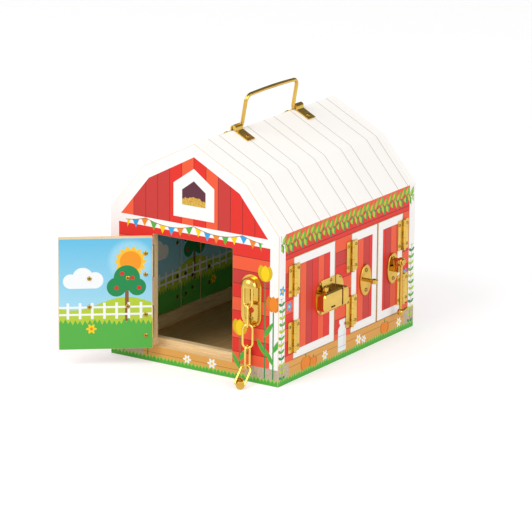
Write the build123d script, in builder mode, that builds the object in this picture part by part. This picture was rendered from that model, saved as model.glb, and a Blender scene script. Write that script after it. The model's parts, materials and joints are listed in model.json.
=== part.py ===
from build123d import *
import os
from collections import namedtuple
from math import atan2, cos, degrees, hypot, radians, sin, sqrt

# A wooden toy barn with a carrying handle. Six doors hang on small brass butt hinges, and each
# side closes with its own latch: a chain, a box latch, a cabin hook, a barrel bolt and a hasp.
# Millimetres. The origin is under the middle of the barn, +Z is up and the front faces -Y.

# Barn body
barn_width = 216.0
eave_height = 164.5
lower_roof_rise = 50.3
upper_roof_rise = 33.9
upper_roof_half_width = 65.6
wall = 9.0
roof_board = 6.0
floor_board = 7.2
stop_depth = 8.0
stop_height = 17.8
edge_break = 0.4

# Doorways, measured along each wall
front_opening = 102.0
front_opening_left = 55.6
right_front_stile = 28.4
right_front_opening = 82.1
right_post = 32.1
right_middle_opening = 54.0
right_rear_opening = 52.8
right_rear_stile = 25.6
left_front_stile = 27.0
left_front_opening = 93.9
left_post = 37.1
left_rear_stile = 25.6

# Doors
front_sill = 18.4
front_door_height = 122.9
side_sill = 23.3
side_door_height = 111.5
edge_gap = 0.8
hinge_gap = 1.0
running_gap = 0.2
front_door_open = 141.0

# Butt hinges, their pins and the tubular rivets through the wood
sheet = 0.9
leaf_reach = 10.9
leaf_height = 34.0
leaf_corner = 1.6
leaf_relief = 0.3
knuckle_radius = 1.9
knuckle_count = 5
knuckle_gap = 0.2
pin_radius = 1.0
pin_fit = 0.05
pin_head = 0.6
pin_standoff = 2.0
front_hinge_heights = (45.5, 113.3)
side_hinge_heights = (49.5, 111.5)
rivet_reach = 8.0
rivet_step = 23.4
rivet_shank = 1.25
rivet_head = 1.9
rivet_rise = 0.9
rivet_dimple = 0.7
rivet_dimple_depth = 0.6
rivet_ring = 2.4
rivet_ring_rise = 0.9
rivet_bore = 1.0
rivet_bore_depth = 3.0
hole_fit = 0.05

# Carrying handle, its ridge straps and screws
handle_offset = 2.8
handle_wire = 4.2
handle_height = 33.6
handle_bow = 1.4
handle_lean = 10.0
handle_corner = 8.0
handle_foot_corner = 3.0
strap_spacing = 119.5
strap_width = 14.0
strap_sheet = 1.3
strap_tab = 20.5
strap_screw_reach = 15.0
ridge_clearance = 0.3
leg_clearance = 0.8
foot_inset = 1.5

# Screws
screw_shank = 1.2
screw_head = 2.3
screw_rise = 1.1
screw_length = 5.0
screw_dome = 0.9
cross_slot = 0.7
cross_length = 2.3
cross_depth = 0.6

# Chain: wall plate with hood and stud, five links and the end knob
chain_reach = 24.9
plate_bottom = 61.3
plate_height = 57.5
plate_width = 25.0
chain_sheet = 1.2
plate_border = 4.2
plate_dish = 0.5
plate_hole = 3.1
plate_hole_height = 79.9
plate_screw_heights = (70.8, 96.7)
hood_height = 106.5
hood_radius = 10.0
hood_sheet = 1.0
hood_straight = 5.5
hood_depth = 12.3
stud_radius = 1.5
stud_set = 4.0
stud_end_gap = 0.6
link_wire = 2.6
link_width = 13.0
link_pitch = 22.4
link_gap = 0.3
link_turns = (0.0, 120.0, 30.0, 95.0, 30.0)
last_link_swing = 42.0
chain_standoff = 7.6
knob_disc_thickness = 2.2
knob_neck = 1.6
knob_neck_length = 13.0
floor_gap = 0.1

# Chain track on the front door
track_reach = 47.5
track_height = 82.3
track_plate = (50.0, 40.0)
track_rivets = (41.0, 31.4)
track_channel = (42.0, 15.0)
track_rise = 4.6
track_corner = 4.0
track_slot = 2.4
track_entry = 5.2
track_entry_inset = 8.5
track_slot_inset = 5.0

# Box latch on the right front door, with its keeper on the post
latch_height = 78.8
latch_flange = (55.0, 38.0)
latch_flange_overhang = 4.0
latch_flange_corner = 15.0
latch_case_length = 36.5
latch_case_height = 21.0
latch_case_drop = 3.2
latch_rise = 11.0
latch_corner = 6.0
latch_edge = 1.5
latch_sheet = 1.0
latch_edge_inset = 0.5
keeper_length = 11.1
latch_rivet_rise = 15.8
latch_rivet_inset = 8.0
latch_rivet_back = 28.5
keeper_rivet_reach = 8.6
bolt_height = 13.6
bolt_low = 2.0
bolt_high = 8.0
bolt_length = 28.0
bolt_travel = 7.0
knob_inset = 25.0
knob_stem = 1.6
knob_head = 3.0
knob_head_gap = 1.0
knob_head_length = 4.5
knob_slot_fit = 0.2
thumb_slot_width = 0.9
face_slot = (8.0, 1.8)
face_slot_inset = 19.0
face_slot_drop = 6.2

# Cabin hook between the right middle and right rear doors
oval_width = 22.0
oval_height = 35.0
oval_plate = 2.2
oval_edge = 0.8
oval_screw_rise = 11.2
hook_plate_height = 78.2
eye_reach = 27.4
hook_pivot_reach = 21.9
hook_out = 12.1
hook_pivot_rise = 8.8
eye_radius = 4.4
eye_bore = 2.3
eye_thickness = 4.4
post_radius = 2.0
arm_radius = 3.8
arm_low = 4.6
arm_high = 9.4
pivot_radius = 2.3
pivot_fit = 0.1
hook_ring = 5.0
hook_ring_thickness = 4.6
pivot_head = 3.6
pivot_head_rise = 1.2
pivot_end_gap = 0.3
hook_rod = 1.7
hook_ball = 3.9
hook_tip = 1.5
hook_tip_length = 13.3
hook_ball_gap = 0.3
hook_rest_angle = 270.0

# Barrel bolt on the left front door, with its keeper on the front stile
barrel_height = 80.0
barrel_plate = (36.0, 18.0)
barrel_inset = 4.0
barrel_radius = 2.5
barrel_fit = 0.1
barrel_length = 53.0
barrel_travel = 12.0
barrel_tip_inset = 1.0
guide_width = 5.0
guide_wall = 1.6
guide_shoulder = 0.4
barrel_knob_reach = 30.0
barrel_knob_stem = 1.6
barrel_knob_head = 2.8
barrel_knob_out = 11.5
barrel_knob_length = 3.0
barrel_rivet_rise = 6.4
barrel_rivet_reach = (12.0, 32.0)
bolt_keeper_gap = 1.5
bolt_keeper_plate = (15.0, 18.0)
bolt_keeper_rivet_reach = 10.5

# Hasp on the left post and the turning staple on the left rear door
hasp_height = 49.0
hasp_plate_height = 22.0
hasp_plate_length = 12.5
hasp_pin_gap = 8.0
hasp_rivet_rise = 7.0
hasp_rivet_reach = 8.2
hasp_knuckle = 7.0
strap_leaf_length = 37.0
strap_leaf_height = 19.0
strap_leaf_low = 2.2
strap_leaf_sheet = 1.0
strap_leaf_corner = 7.0
staple_reach = 24.8
strap_slot = (7.5, 13.6)
strap_slot_shift = 0.7
hasp_open = 100.0
staple_plate_size = (14.0, 25.0)
staple_rivet_rise = 9.2
staple_neck = 2.1
staple_set = 6.0
staple_low = 3.9
staple_high = 11.0
staple_width = 12.0
staple_thickness = 3.0
staple_eye = 2.4
staple_shoulder = 2.6
staple_fit = 0.1

# Sizes that follow from the ones above
barn_length = (
    right_front_stile
    + right_front_opening
    + right_post
    + right_middle_opening
    + right_rear_opening
    + right_rear_stile
)
left_rear_opening = barn_length - left_front_stile - left_front_opening - left_post - left_rear_stile
knee_height = eave_height + lower_roof_rise
ridge_height = knee_height + upper_roof_rise
half_width = barn_width / 2
half_length = barn_length / 2
inner_length = barn_length - 2 * wall
upper_slope = degrees(atan2(upper_roof_rise, upper_roof_half_width))
rivet_hole = rivet_shank + hole_fit
screw_hole = screw_shank + hole_fit

os.makedirs("parts", exist_ok=True)


def save(piece, label):
    """Label a finished piece and write it under its name."""
    piece.part.label = label
    export_step(piece.part, f"parts/{label}.step")


# ---------------------------------------------------------------------------------------------
# Doors: where they hang
# ---------------------------------------------------------------------------------------------

Door = namedtuple("Door", "name frame rest opening sill height hinge_heights")


def turned(frame, angle):
    """A frame turned about its own z axis, from its x axis towards its y axis."""
    x_dir = frame.x_dir * cos(radians(angle)) + frame.y_dir * sin(radians(angle))
    return Plane(origin=frame.origin, x_dir=x_dir, z_dir=frame.z_dir)


def hung(name, pin, along, out, opening, sill, height, hinge_heights, angle=0.0):
    """A door on its hinge pin: x runs to the free edge, y out of the wall, both from the pin."""
    frame = Plane(origin=pin, x_dir=along, z_dir=Vector(*along).cross(Vector(*out)))
    return Door(name, frame, turned(frame, angle), opening, sill, height, hinge_heights)


def door_width(opening):
    """Width whose inner corner swings past the far jamb with the running gap."""
    swing = opening - hinge_gap / 2 - running_gap
    return sqrt(swing**2 - (wall + pin_standoff) ** 2) - hinge_gap / 2


def free_edge(door):
    """Distance from the pin to the door's free edge."""
    return hinge_gap / 2 + door_width(door.opening)


def face_plane(frame):
    """Outer face of a door or its wall: origin level with the pin, x along, z out of the wood."""
    return Plane(
        origin=frame.from_local_coords(Vector(0, -pin_standoff, 0)), x_dir=frame.x_dir, z_dir=frame.y_dir
    )


def on_face(plane, along, height, out=0.0):
    """A plane parallel to a face, moved along it, up it and out of it."""
    origin = plane.origin + plane.x_dir * along + Vector(0, 0, height) + plane.z_dir * out
    return Plane(origin=origin, x_dir=plane.x_dir, z_dir=plane.z_dir)


SIDE = (side_sill, side_door_height, side_hinge_heights)
right_pin_x = half_width + pin_standoff
right_middle_start = -half_length + right_front_stile + right_front_opening + right_post
left_front_end = -half_length + left_front_stile + left_front_opening

front_door = hung(
    "front_door",
    (-half_width + front_opening_left + hinge_gap / 2, -half_length - pin_standoff, 0),
    (1, 0, 0),
    (0, -1, 0),
    front_opening,
    front_sill,
    front_door_height,
    front_hinge_heights,
    front_door_open,
)
right_front_door = hung(
    "right_front_door",
    (right_pin_x, -half_length + right_front_stile + hinge_gap / 2, 0),
    (0, 1, 0),
    (1, 0, 0),
    right_front_opening,
    *SIDE,
)
right_middle_door = hung(
    "right_middle_door",
    (right_pin_x, right_middle_start + hinge_gap / 2, 0),
    (0, 1, 0),
    (1, 0, 0),
    right_middle_opening,
    *SIDE,
)
right_rear_door = hung(
    "right_rear_door",
    (right_pin_x, half_length - right_rear_stile - hinge_gap / 2, 0),
    (0, -1, 0),
    (1, 0, 0),
    right_rear_opening,
    *SIDE,
)
left_front_door = hung(
    "left_front_door",
    (-right_pin_x, left_front_end - hinge_gap / 2, 0),
    (0, -1, 0),
    (-1, 0, 0),
    left_front_opening,
    *SIDE,
)
left_rear_door = hung(
    "left_rear_door",
    (-right_pin_x, half_length - left_rear_stile - hinge_gap / 2, 0),
    (0, -1, 0),
    (-1, 0, 0),
    left_rear_opening,
    *SIDE,
)
doors = (
    front_door,
    right_front_door,
    right_middle_door,
    right_rear_door,
    left_front_door,
    left_rear_door,
)


def leaf_rivets(door_plane, heights, side):
    """Planes of the two rivets in each hinge leaf on one side of the pin line."""
    return [
        on_face(door_plane, side * rivet_reach, height + step)
        for height in heights
        for step in (-rivet_step / 2, rivet_step / 2)
    ]


# ---------------------------------------------------------------------------------------------
# Where the latches sit
# ---------------------------------------------------------------------------------------------

track_plane = on_face(face_plane(front_door.rest), track_reach, track_height)
track_rivet_planes = [
    on_face(track_plane, x * track_rivets[0] / 2, y * track_rivets[1] / 2) for x in (-1, 1) for y in (-1, 1)
]

latch_face = face_plane(right_front_door.frame)
latch_edge_reach = free_edge(right_front_door) - latch_edge_inset
keeper_edge_reach = right_front_opening - hinge_gap / 2 + latch_edge_inset
latch_rivet_planes = [
    on_face(latch_face, latch_edge_reach - inset, latch_height + side * latch_rivet_rise)
    for inset in (latch_rivet_inset, latch_rivet_back)
    for side in (-1, 1)
]
keeper_rivet_planes = [
    on_face(latch_face, keeper_edge_reach + keeper_rivet_reach, latch_height + side * latch_rivet_rise)
    for side in (-1, 1)
]

right_face = Plane(origin=(half_width, 0, 0), x_dir=(0, 1, 0), z_dir=(1, 0, 0))
eye_y = right_middle_door.frame.origin.Y + eye_reach
pivot_y = right_rear_door.frame.origin.Y - hook_pivot_reach
eye_plane = on_face(right_face, eye_y, hook_plate_height)
pivot_plate_plane = on_face(right_face, pivot_y, hook_plate_height)
pivot_plane = on_face(right_face, pivot_y, hook_plate_height + hook_pivot_rise)

barrel_face = face_plane(left_front_door.frame)
barrel_edge = free_edge(left_front_door)
barrel_keeper_edge = left_front_opening - hinge_gap / 2 + bolt_keeper_gap
barrel_rivet_planes = [
    on_face(barrel_face, barrel_edge - reach, barrel_height + side * barrel_rivet_rise)
    for reach in barrel_rivet_reach
    for side in (-1, 1)
]
bolt_keeper_rivet_planes = [
    on_face(barrel_face, barrel_keeper_edge + bolt_keeper_rivet_reach, barrel_height + side * barrel_rivet_rise)
    for side in (-1, 1)
]

hasp_face = face_plane(left_rear_door.frame)
hasp_pin_reach = left_rear_opening - hinge_gap / 2 + hasp_pin_gap
hasp_rivet_planes = [
    on_face(hasp_face, hasp_pin_reach + hasp_rivet_reach, hasp_height + side * hasp_rivet_rise)
    for side in (-1, 1)
]
staple_plane = on_face(hasp_face, hasp_pin_reach - staple_reach, hasp_height)
staple_rivet_planes = [on_face(staple_plane, 0, side * staple_rivet_rise) for side in (-1, 1)]

chain_x = front_door.frame.origin.X - hinge_gap / 2 + front_opening + chain_reach
front_face = Plane(origin=(0, -half_length, 0), x_dir=(1, 0, 0), z_dir=(0, -1, 0))
chain_screw_planes = [
    on_face(front_face, chain_x, height, chain_sheet - plate_dish)
    for height in plate_screw_heights
]
link_drop = link_pitch + link_wire + link_gap
link_radius = (link_width - link_wire) / 2
stud_height = hood_height + stud_end_gap
chain_top = stud_height + stud_radius + link_gap + link_wire / 2
stud_plane = on_face(front_face, chain_x, stud_height)

extra_door_rivets = {
    "front_door": track_rivet_planes,
    "right_front_door": latch_rivet_planes,
    "left_front_door": barrel_rivet_planes,
    "left_rear_door": staple_rivet_planes,
}
oval_screws = {
    "right_middle_door": [on_face(eye_plane, 0, side * oval_screw_rise, oval_plate) for side in (-1, 1)],
    "right_rear_door": [on_face(pivot_plate_plane, 0, side * oval_screw_rise, oval_plate) for side in (-1, 1)],
}
front_wall_rivets = leaf_rivets(face_plane(front_door.frame), front_hinge_heights, -1)
right_wall_rivets = [
    plane
    for door in (right_front_door, right_middle_door, right_rear_door)
    for plane in leaf_rivets(face_plane(door.frame), side_hinge_heights, -1)
] + keeper_rivet_planes
left_wall_rivets = (
    [
        plane
        for door in (left_front_door, left_rear_door)
        for plane in leaf_rivets(face_plane(door.frame), side_hinge_heights, -1)
    ]
    + bolt_keeper_rivet_planes
    + hasp_rivet_planes
)

# ---------------------------------------------------------------------------------------------
# Barn body
# ---------------------------------------------------------------------------------------------

eave = Vector(half_width, eave_height)
knee = Vector(upper_roof_half_width, knee_height)
ridge = Vector(0, ridge_height)


def mitre(before, corner, after):
    """Point on the inside of the roof boards where two of them meet on their mitre line."""
    inward = (before - corner).normalized() + (after - corner).normalized()
    half_angle = radians((before - corner).get_angle(after - corner)) / 2
    return corner + inward.normalized() * (roof_board / sin(half_angle))


knee_inside = mitre(eave, knee, ridge)
ridge_inside = mitre(knee, ridge, Vector(-knee.X, knee.Y))
lower_slope = atan2(lower_roof_rise, half_width - upper_roof_half_width)
eave_inside = eave - Vector(roof_board / sin(lower_slope), 0)

# The floor board, with a strip glued along its front edge that the front door closes against
inner_width = barn_width - 2 * wall
with BuildPart() as floor_panel:
    Box(inner_width, inner_length, floor_board, align=(Align.CENTER, Align.CENTER, Align.MIN))
    with Locations((0, -inner_length / 2, floor_board)):
        Box(inner_width, stop_depth, stop_height, align=(Align.CENTER, Align.MIN, Align.MIN))
save(floor_panel, "floor_panel")


def gable_board(back):
    """An end wall with the gambrel outline, one wall thick towards the front from its back face."""
    with BuildPart() as board:
        with BuildSketch(Plane.XZ.offset(back)):
            with BuildLine():
                Polyline(
                    (-half_width, 0),
                    (half_width, 0),
                    (half_width, eave_height),
                    (upper_roof_half_width, knee_height),
                    (0, ridge_height),
                    (-upper_roof_half_width, knee_height),
                    (-half_width, eave_height),
                    close=True,
                )
            make_face()
        extrude(amount=wall)
    return board


def door_opening(door):
    """Cut a doorway through the wall that the door hangs in."""
    up = door.frame.z_dir.Z
    tall = door.height + 2 * edge_gap
    with Locations(door.frame):
        with Locations(((door.opening - hinge_gap) / 2, -pin_standoff - wall / 2, up * (door.sill + tall / 2))):
            Box(door.opening, 2 * wall, tall, mode=Mode.SUBTRACT)


front_board = gable_board(half_length - wall)
with BuildPart() as front_wall:
    add(front_board.part)
    door_opening(front_door)
    chamfer(front_wall.faces().sort_by(Axis.Y)[0].edges(), edge_break)
    with Locations(*front_wall_rivets):
        Hole(rivet_hole, 2 * wall)
    with Locations(*chain_screw_planes):
        Hole(screw_hole, screw_length)
    with Locations(stud_plane):
        Hole(stud_radius + hole_fit, stud_set)
save(front_wall, "front_wall")

rear_board = gable_board(-half_length)
with BuildPart() as rear_wall:
    add(rear_board.part)
    chamfer(rear_wall.faces().sort_by(Axis.Y)[-1].edges(), edge_break)
save(rear_wall, "rear_wall")

with BuildPart() as right_wall:
    with Locations((half_width, 0, 0)):
        Box(wall, inner_length, eave_height, align=(Align.MAX, Align.CENTER, Align.MIN))
    for side_door in (right_front_door, right_middle_door, right_rear_door):
        door_opening(side_door)
    with Locations(*right_wall_rivets):
        Hole(rivet_hole, 2 * wall)
save(right_wall, "right_wall")

with BuildPart() as left_wall:
    with Locations((-half_width, 0, 0)):
        Box(wall, inner_length, eave_height, align=(Align.MIN, Align.CENTER, Align.MIN))
    for side_door in (left_front_door, left_rear_door):
        door_opening(side_door)
    with Locations(*left_wall_rivets):
        Hole(rivet_hole, 2 * wall)
save(left_wall, "left_wall")

strap_centres = [handle_offset + side * strap_spacing / 2 for side in (-1, 1)]
slope_step = Vector(cos(radians(upper_slope)), 0, -sin(radians(upper_slope)))
slope_normal = Vector(sin(radians(upper_slope)), 0, cos(radians(upper_slope)))


def strap_screw_planes(side):
    """Planes of the strap screws on one upper roof slope, on top of the strap's tabs."""
    step = Vector(side * slope_step.X, 0, slope_step.Z)
    normal = Vector(side * slope_normal.X, 0, slope_normal.Z)
    seat = Vector(0, 0, ridge_height) + step * strap_screw_reach + normal * strap_sheet
    return [Plane(origin=seat + Vector(0, centre, 0), z_dir=normal) for centre in strap_centres]


def roof_board_between(*corners):
    """A roof board from its section's corners, between the two gable walls."""
    with BuildPart() as board:
        with BuildSketch(Plane.XZ):
            with BuildLine():
                Polyline(*corners, close=True)
            make_face()
        extrude(amount=inner_length / 2, both=True)
    return board


for side_name, side in (("right", 1), ("left", -1)):
    lower_section = [(side * point.X, point.Y) for point in (eave, knee, knee_inside, eave_inside)]
    save(roof_board_between(*lower_section), f"lower_roof_{side_name}")
    upper_section = [(side * point.X, point.Y) for point in (knee, ridge, ridge_inside, knee_inside)]
    upper_board = roof_board_between(*upper_section)
    with BuildPart() as upper_roof:
        add(upper_board.part)
        with Locations(*strap_screw_planes(side)):
            Hole(screw_hole, screw_length)
    save(upper_roof, f"upper_roof_{side_name}")

# ---------------------------------------------------------------------------------------------
# Hinges and rivets
# ---------------------------------------------------------------------------------------------

knuckle_length = (leaf_height - (knuckle_count - 1) * knuckle_gap) / knuckle_count
knuckle_pitch = knuckle_length + knuckle_gap
knuckle_starts = [row * knuckle_pitch - leaf_height / 2 for row in range(knuckle_count)]
leaf_start = knuckle_radius + leaf_relief


def hinge_leaf(side, starts):
    """A hinge leaf beside its pin, which stands on z, with knuckles that start at the given heights."""
    leaf_width = leaf_reach - leaf_start
    with BuildPart() as leaf:
        with BuildSketch(Plane.XZ.offset(pin_standoff - sheet)) as outline:
            with Locations((side * (leaf_start + leaf_width / 2), 0)):
                Rectangle(leaf_width, leaf_height)
            outer = outline.vertices().sort_by(Axis.X)[-2:] if side > 0 else outline.vertices().sort_by(Axis.X)[:2]
            fillet(outer, leaf_corner)
            with Locations(*[(side * leaf_start / 2, start + knuckle_length / 2) for start in starts]):
                Rectangle(leaf_start + leaf_relief, knuckle_length)
            with Locations(*[(side * rivet_reach, step) for step in (-rivet_step / 2, rivet_step / 2)]):
                Circle(rivet_hole, mode=Mode.SUBTRACT)
        extrude(amount=sheet)
        with BuildSketch(*[Plane.XY.offset(start) for start in starts]):
            Circle(knuckle_radius)
            Circle(pin_radius + pin_fit, mode=Mode.SUBTRACT)
        extrude(amount=knuckle_length)
        with BuildSketch(*[Plane.XY.offset(start) for start in starts]):
            Circle(pin_radius + pin_fit)
        extrude(amount=knuckle_length, mode=Mode.SUBTRACT)
    return leaf


fixed_leaf = hinge_leaf(-1, knuckle_starts[0::2])
moving_leaf = hinge_leaf(1, knuckle_starts[1::2])

with BuildPart() as hinge_pin:
    Cylinder(pin_radius, leaf_height)
    with Locations(*[(0, 0, end * (leaf_height + pin_head) / 2) for end in (-1, 1)]):
        Cylinder(knuckle_radius, pin_head)

rivet_top = sheet + rivet_rise
with BuildPart() as rivet:
    with BuildSketch(Plane.XZ):
        with BuildLine():
            Polyline(
                (0, rivet_top - rivet_dimple_depth),
                (rivet_dimple, rivet_top - rivet_dimple_depth),
                (rivet_dimple, rivet_top),
            )
            TangentArc((rivet_dimple, rivet_top), (rivet_head, sheet), tangent=(1, 0))
            Polyline(
                (rivet_head, sheet),
                (rivet_shank, sheet),
                (rivet_shank, -wall),
                (rivet_ring, -wall),
                (rivet_ring, -wall - rivet_ring_rise / 2),
                ((rivet_ring + rivet_bore) / 2, -wall - rivet_ring_rise),
                (rivet_bore, -wall - rivet_ring_rise),
                (rivet_bore, rivet_bore_depth - wall),
                (0, rivet_bore_depth - wall),
                (0, rivet_top - rivet_dimple_depth),
            )
        make_face()
    revolve(axis=Axis.Z)


def screw(length):
    """A cross-head screw that points down z from its seat at the origin."""
    with BuildPart() as body:
        with BuildSketch(Plane.XZ):
            with BuildLine():
                Polyline(
                    (0, screw_rise),
                    (screw_head, screw_rise),
                    (screw_head, 0),
                    (screw_shank, 0),
                    (screw_shank, screw_shank - length),
                    (0, -length),
                    close=True,
                )
            make_face()
        revolve(axis=Axis.Z)
        fillet(body.edges().sort_by(Axis.Z)[-1], screw_dome)
        with BuildSketch(Plane.XY.offset(screw_rise)):
            Rectangle(cross_length, cross_slot)
            Rectangle(cross_slot, cross_length)
        extrude(amount=-cross_depth, mode=Mode.SUBTRACT)
    return body


board_screw = screw(screw_length)


def group(piece, places, label):
    """Save copies of one piece at several places under one name."""
    with BuildPart() as copies:
        with Locations(*places):
            add(piece.part)
    save(copies, label)


def hinge_places(frame, heights):
    """Hinge frames up a door's pin line."""
    return [Plane(frame.origin + Vector(0, 0, height), frame.x_dir, frame.z_dir) for height in heights]


all_hinges = [place for door in doors for place in hinge_places(door.frame, door.hinge_heights)]
group(fixed_leaf, all_hinges, "wall_hinge_leaves")
group(hinge_pin, all_hinges, "hinge_pins")
group(rivet, front_wall_rivets + right_wall_rivets + left_wall_rivets, "wall_rivets")

for door in doors:
    rivet_planes = leaf_rivets(face_plane(door.rest), door.hinge_heights, 1) + extra_door_rivets.get(door.name, [])
    up = door.rest.z_dir.Z
    width = door_width(door.opening)
    with BuildPart() as door_panel:
        with Locations(door.rest):
            with Locations(
                (
                    (hinge_gap + width) / 2,
                    -pin_standoff - wall / 2,
                    up * (door.sill + edge_gap + door.height / 2),
                )
            ):
                Box(width, wall, door.height)
        chamfer(door_panel.edges(), edge_break)
        with Locations(*rivet_planes):
            Hole(rivet_hole, 2 * wall)
        if door.name in oval_screws:
            with Locations(*oval_screws[door.name]):
                Hole(screw_hole, screw_length + oval_plate)
        if door.name == "left_rear_door":
            with Locations(staple_plane):
                Hole(staple_neck + staple_fit, staple_set + running_gap)
    save(door_panel, f"{door.name}_panel")
    group(moving_leaf, hinge_places(door.rest, door.hinge_heights), f"{door.name}_leaves")
    group(rivet, rivet_planes, f"{door.name}_rivets")

# ---------------------------------------------------------------------------------------------
# Carrying handle
# ---------------------------------------------------------------------------------------------

wire_radius = handle_wire / 2
strap_bore = wire_radius + pin_fit
strap_dome = strap_bore + strap_sheet
handle_axis_height = ridge_height + wire_radius + ridge_clearance

with BuildPart() as ridge_strap:
    with BuildSketch(Plane.XZ):
        with Locations((0, handle_axis_height)):
            Circle(strap_dome)
            Rectangle(2 * strap_dome, handle_axis_height - knee_height, align=(Align.CENTER, Align.MAX))
            Circle(strap_bore, mode=Mode.SUBTRACT)
            Rectangle(
                2 * strap_bore,
                handle_axis_height - knee_height,
                align=(Align.CENTER, Align.MAX),
                mode=Mode.SUBTRACT,
            )
        with BuildLine():
            Polyline(
                (-upper_roof_half_width, knee_height),
                (0, ridge_height),
                (upper_roof_half_width, knee_height),
                close=True,
            )
        make_face(mode=Mode.SUBTRACT)
        for side in (-1, 1):
            start = Vector(side * strap_bore, ridge_height - strap_bore * upper_roof_rise / upper_roof_half_width)
            along = Vector(side * slope_step.X, slope_step.Z)
            rise = Vector(side * slope_normal.X, slope_normal.Z)
            tab_length = strap_tab - strap_bore
            with BuildLine():
                Polyline(
                    start,
                    start + along * tab_length,
                    start + along * tab_length + rise * strap_sheet,
                    start + rise * strap_sheet,
                    close=True,
                )
            make_face()
    extrude(amount=strap_width / 2, both=True)
    for side in (-1, 1):
        with Locations(strap_screw_planes(side)[0].move(Location((0, -strap_centres[0], 0)))):
            Hole(screw_hole, 2 * strap_sheet)
group(ridge_strap, [Location((0, centre, 0)) for centre in strap_centres], "handle_straps")
group(board_screw, strap_screw_planes(1) + strap_screw_planes(-1), "handle_screws")

leg_reach = strap_spacing / 2 - strap_width / 2 - leg_clearance - wire_radius
foot_reach = strap_spacing / 2 + strap_width / 2 - foot_inset
lean = radians(handle_lean)
handle_plane = Plane(
    origin=(0, handle_offset, handle_axis_height),
    x_dir=(0, 1, 0),
    z_dir=(cos(lean), 0, -sin(lean)),
)
with BuildPart() as handle:
    with BuildLine(handle_plane) as handle_line:
        Polyline((-foot_reach, 0), (-leg_reach, 0), (-leg_reach, handle_height))
        ThreePointArc(
            (-leg_reach, handle_height),
            (0, handle_height + handle_bow),
            (leg_reach, handle_height),
        )
        Polyline((leg_reach, handle_height), (leg_reach, 0), (foot_reach, 0))
        fillet(handle_line.vertices().group_by(Axis.Z)[-1], handle_corner)
        fillet(handle_line.vertices().group_by(Axis.Z)[0].sort_by(Axis.Y)[1:-1], handle_foot_corner)
    with BuildSketch(Plane(origin=handle_line.line @ 0, z_dir=handle_line.line % 0)):
        Circle(wire_radius)
    sweep(path=handle_line.line)
save(handle, "handle")

# ---------------------------------------------------------------------------------------------
# Chain, its wall plate and its track
# ---------------------------------------------------------------------------------------------

hood_plane = Plane(origin=on_face(front_face, chain_x, hood_height).origin, x_dir=(1, 0, 0), z_dir=(0, 0, -1))
hood_axis = Axis(hood_plane.origin, front_face.z_dir)

with BuildPart() as chain_plate:
    with BuildSketch(on_face(front_face, chain_x, plate_bottom + plate_height / 2)):
        SlotOverall(plate_height, plate_width, rotation=90)
    extrude(amount=chain_sheet)
    with BuildSketch(on_face(front_face, chain_x, plate_bottom + plate_height / 2, chain_sheet)):
        SlotOverall(plate_height - 2 * plate_border, plate_width - 2 * plate_border, rotation=90)
    extrude(amount=-plate_dish, mode=Mode.SUBTRACT)
    with BuildSketch(hood_plane):
        with BuildLine():
            Line((hood_radius, 0), (hood_radius, hood_straight))
            EllipticalCenterArc((0, hood_straight), hood_radius, hood_depth - hood_straight, 0, arc_size=90)
            Line((0, hood_depth), (0, hood_depth - hood_sheet))
            EllipticalCenterArc(
                (0, hood_straight),
                hood_radius - hood_sheet,
                hood_depth - hood_sheet - hood_straight,
                0,
                arc_size=90,
            )
            Line((hood_radius - hood_sheet, hood_straight), (hood_radius - hood_sheet, 0))
            Line((hood_radius - hood_sheet, 0), (hood_radius, 0))
        make_face()
    revolve(axis=hood_axis, revolution_arc=180)
    with Locations(on_face(front_face, chain_x, plate_hole_height, chain_sheet)):
        Hole(plate_hole, 2 * chain_sheet)
    with Locations(*chain_screw_planes):
        Hole(screw_hole, 2 * chain_sheet)
    with Locations(on_face(front_face, chain_x, stud_height, chain_sheet)):
        Hole(stud_radius + hole_fit, 2 * chain_sheet)
save(chain_plate, "chain_plate")
group(board_screw, chain_screw_planes, "chain_plate_screws")

with BuildPart() as chain_stud:
    with BuildSketch(on_face(front_face, chain_x, stud_height, -stud_set)):
        Circle(stud_radius)
    extrude(amount=stud_set + hood_depth - hood_sheet - stud_end_gap)
save(chain_stud, "chain_stud")


def chain_link(top, swing, turn):
    """A link whose top wire centre is at `top`, swung to the front and turned about its length."""
    down = Vector(0, -sin(radians(swing)), -cos(radians(swing)))
    back = Vector(0, cos(radians(swing)), -sin(radians(swing)))
    side = Vector(cos(radians(turn)), 0, 0) + back * sin(radians(turn))
    link_plane = Plane(origin=top, x_dir=side, z_dir=side.cross(down * -1))
    straight = link_drop - 2 * link_radius
    with BuildPart() as link:
        with BuildLine(link_plane) as loop:
            Line((-link_radius, -link_radius), (-link_radius, -link_radius - straight))
            CenterArc((0, -link_radius - straight), link_radius, 180, 180)
            Line((link_radius, -link_radius - straight), (link_radius, -link_radius))
            CenterArc((0, -link_radius), link_radius, 0, 180)
        with BuildSketch(Plane(origin=loop.line @ 0, z_dir=loop.line % 0)):
            Circle(link_wire / 2)
        sweep(path=loop.line)
    return link, down, side


link_top = stud_plane.origin + front_face.z_dir * chain_standoff + Vector(0, 0, chain_top - stud_height)
for number, turn in enumerate(link_turns, start=1):
    link, link_down, link_side = chain_link(link_top, last_link_swing if number == len(link_turns) else 0.0, turn)
    save(link, f"chain_link_{number}")
    last_top = link_top
    link_top = link_top + link_down * link_pitch

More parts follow.
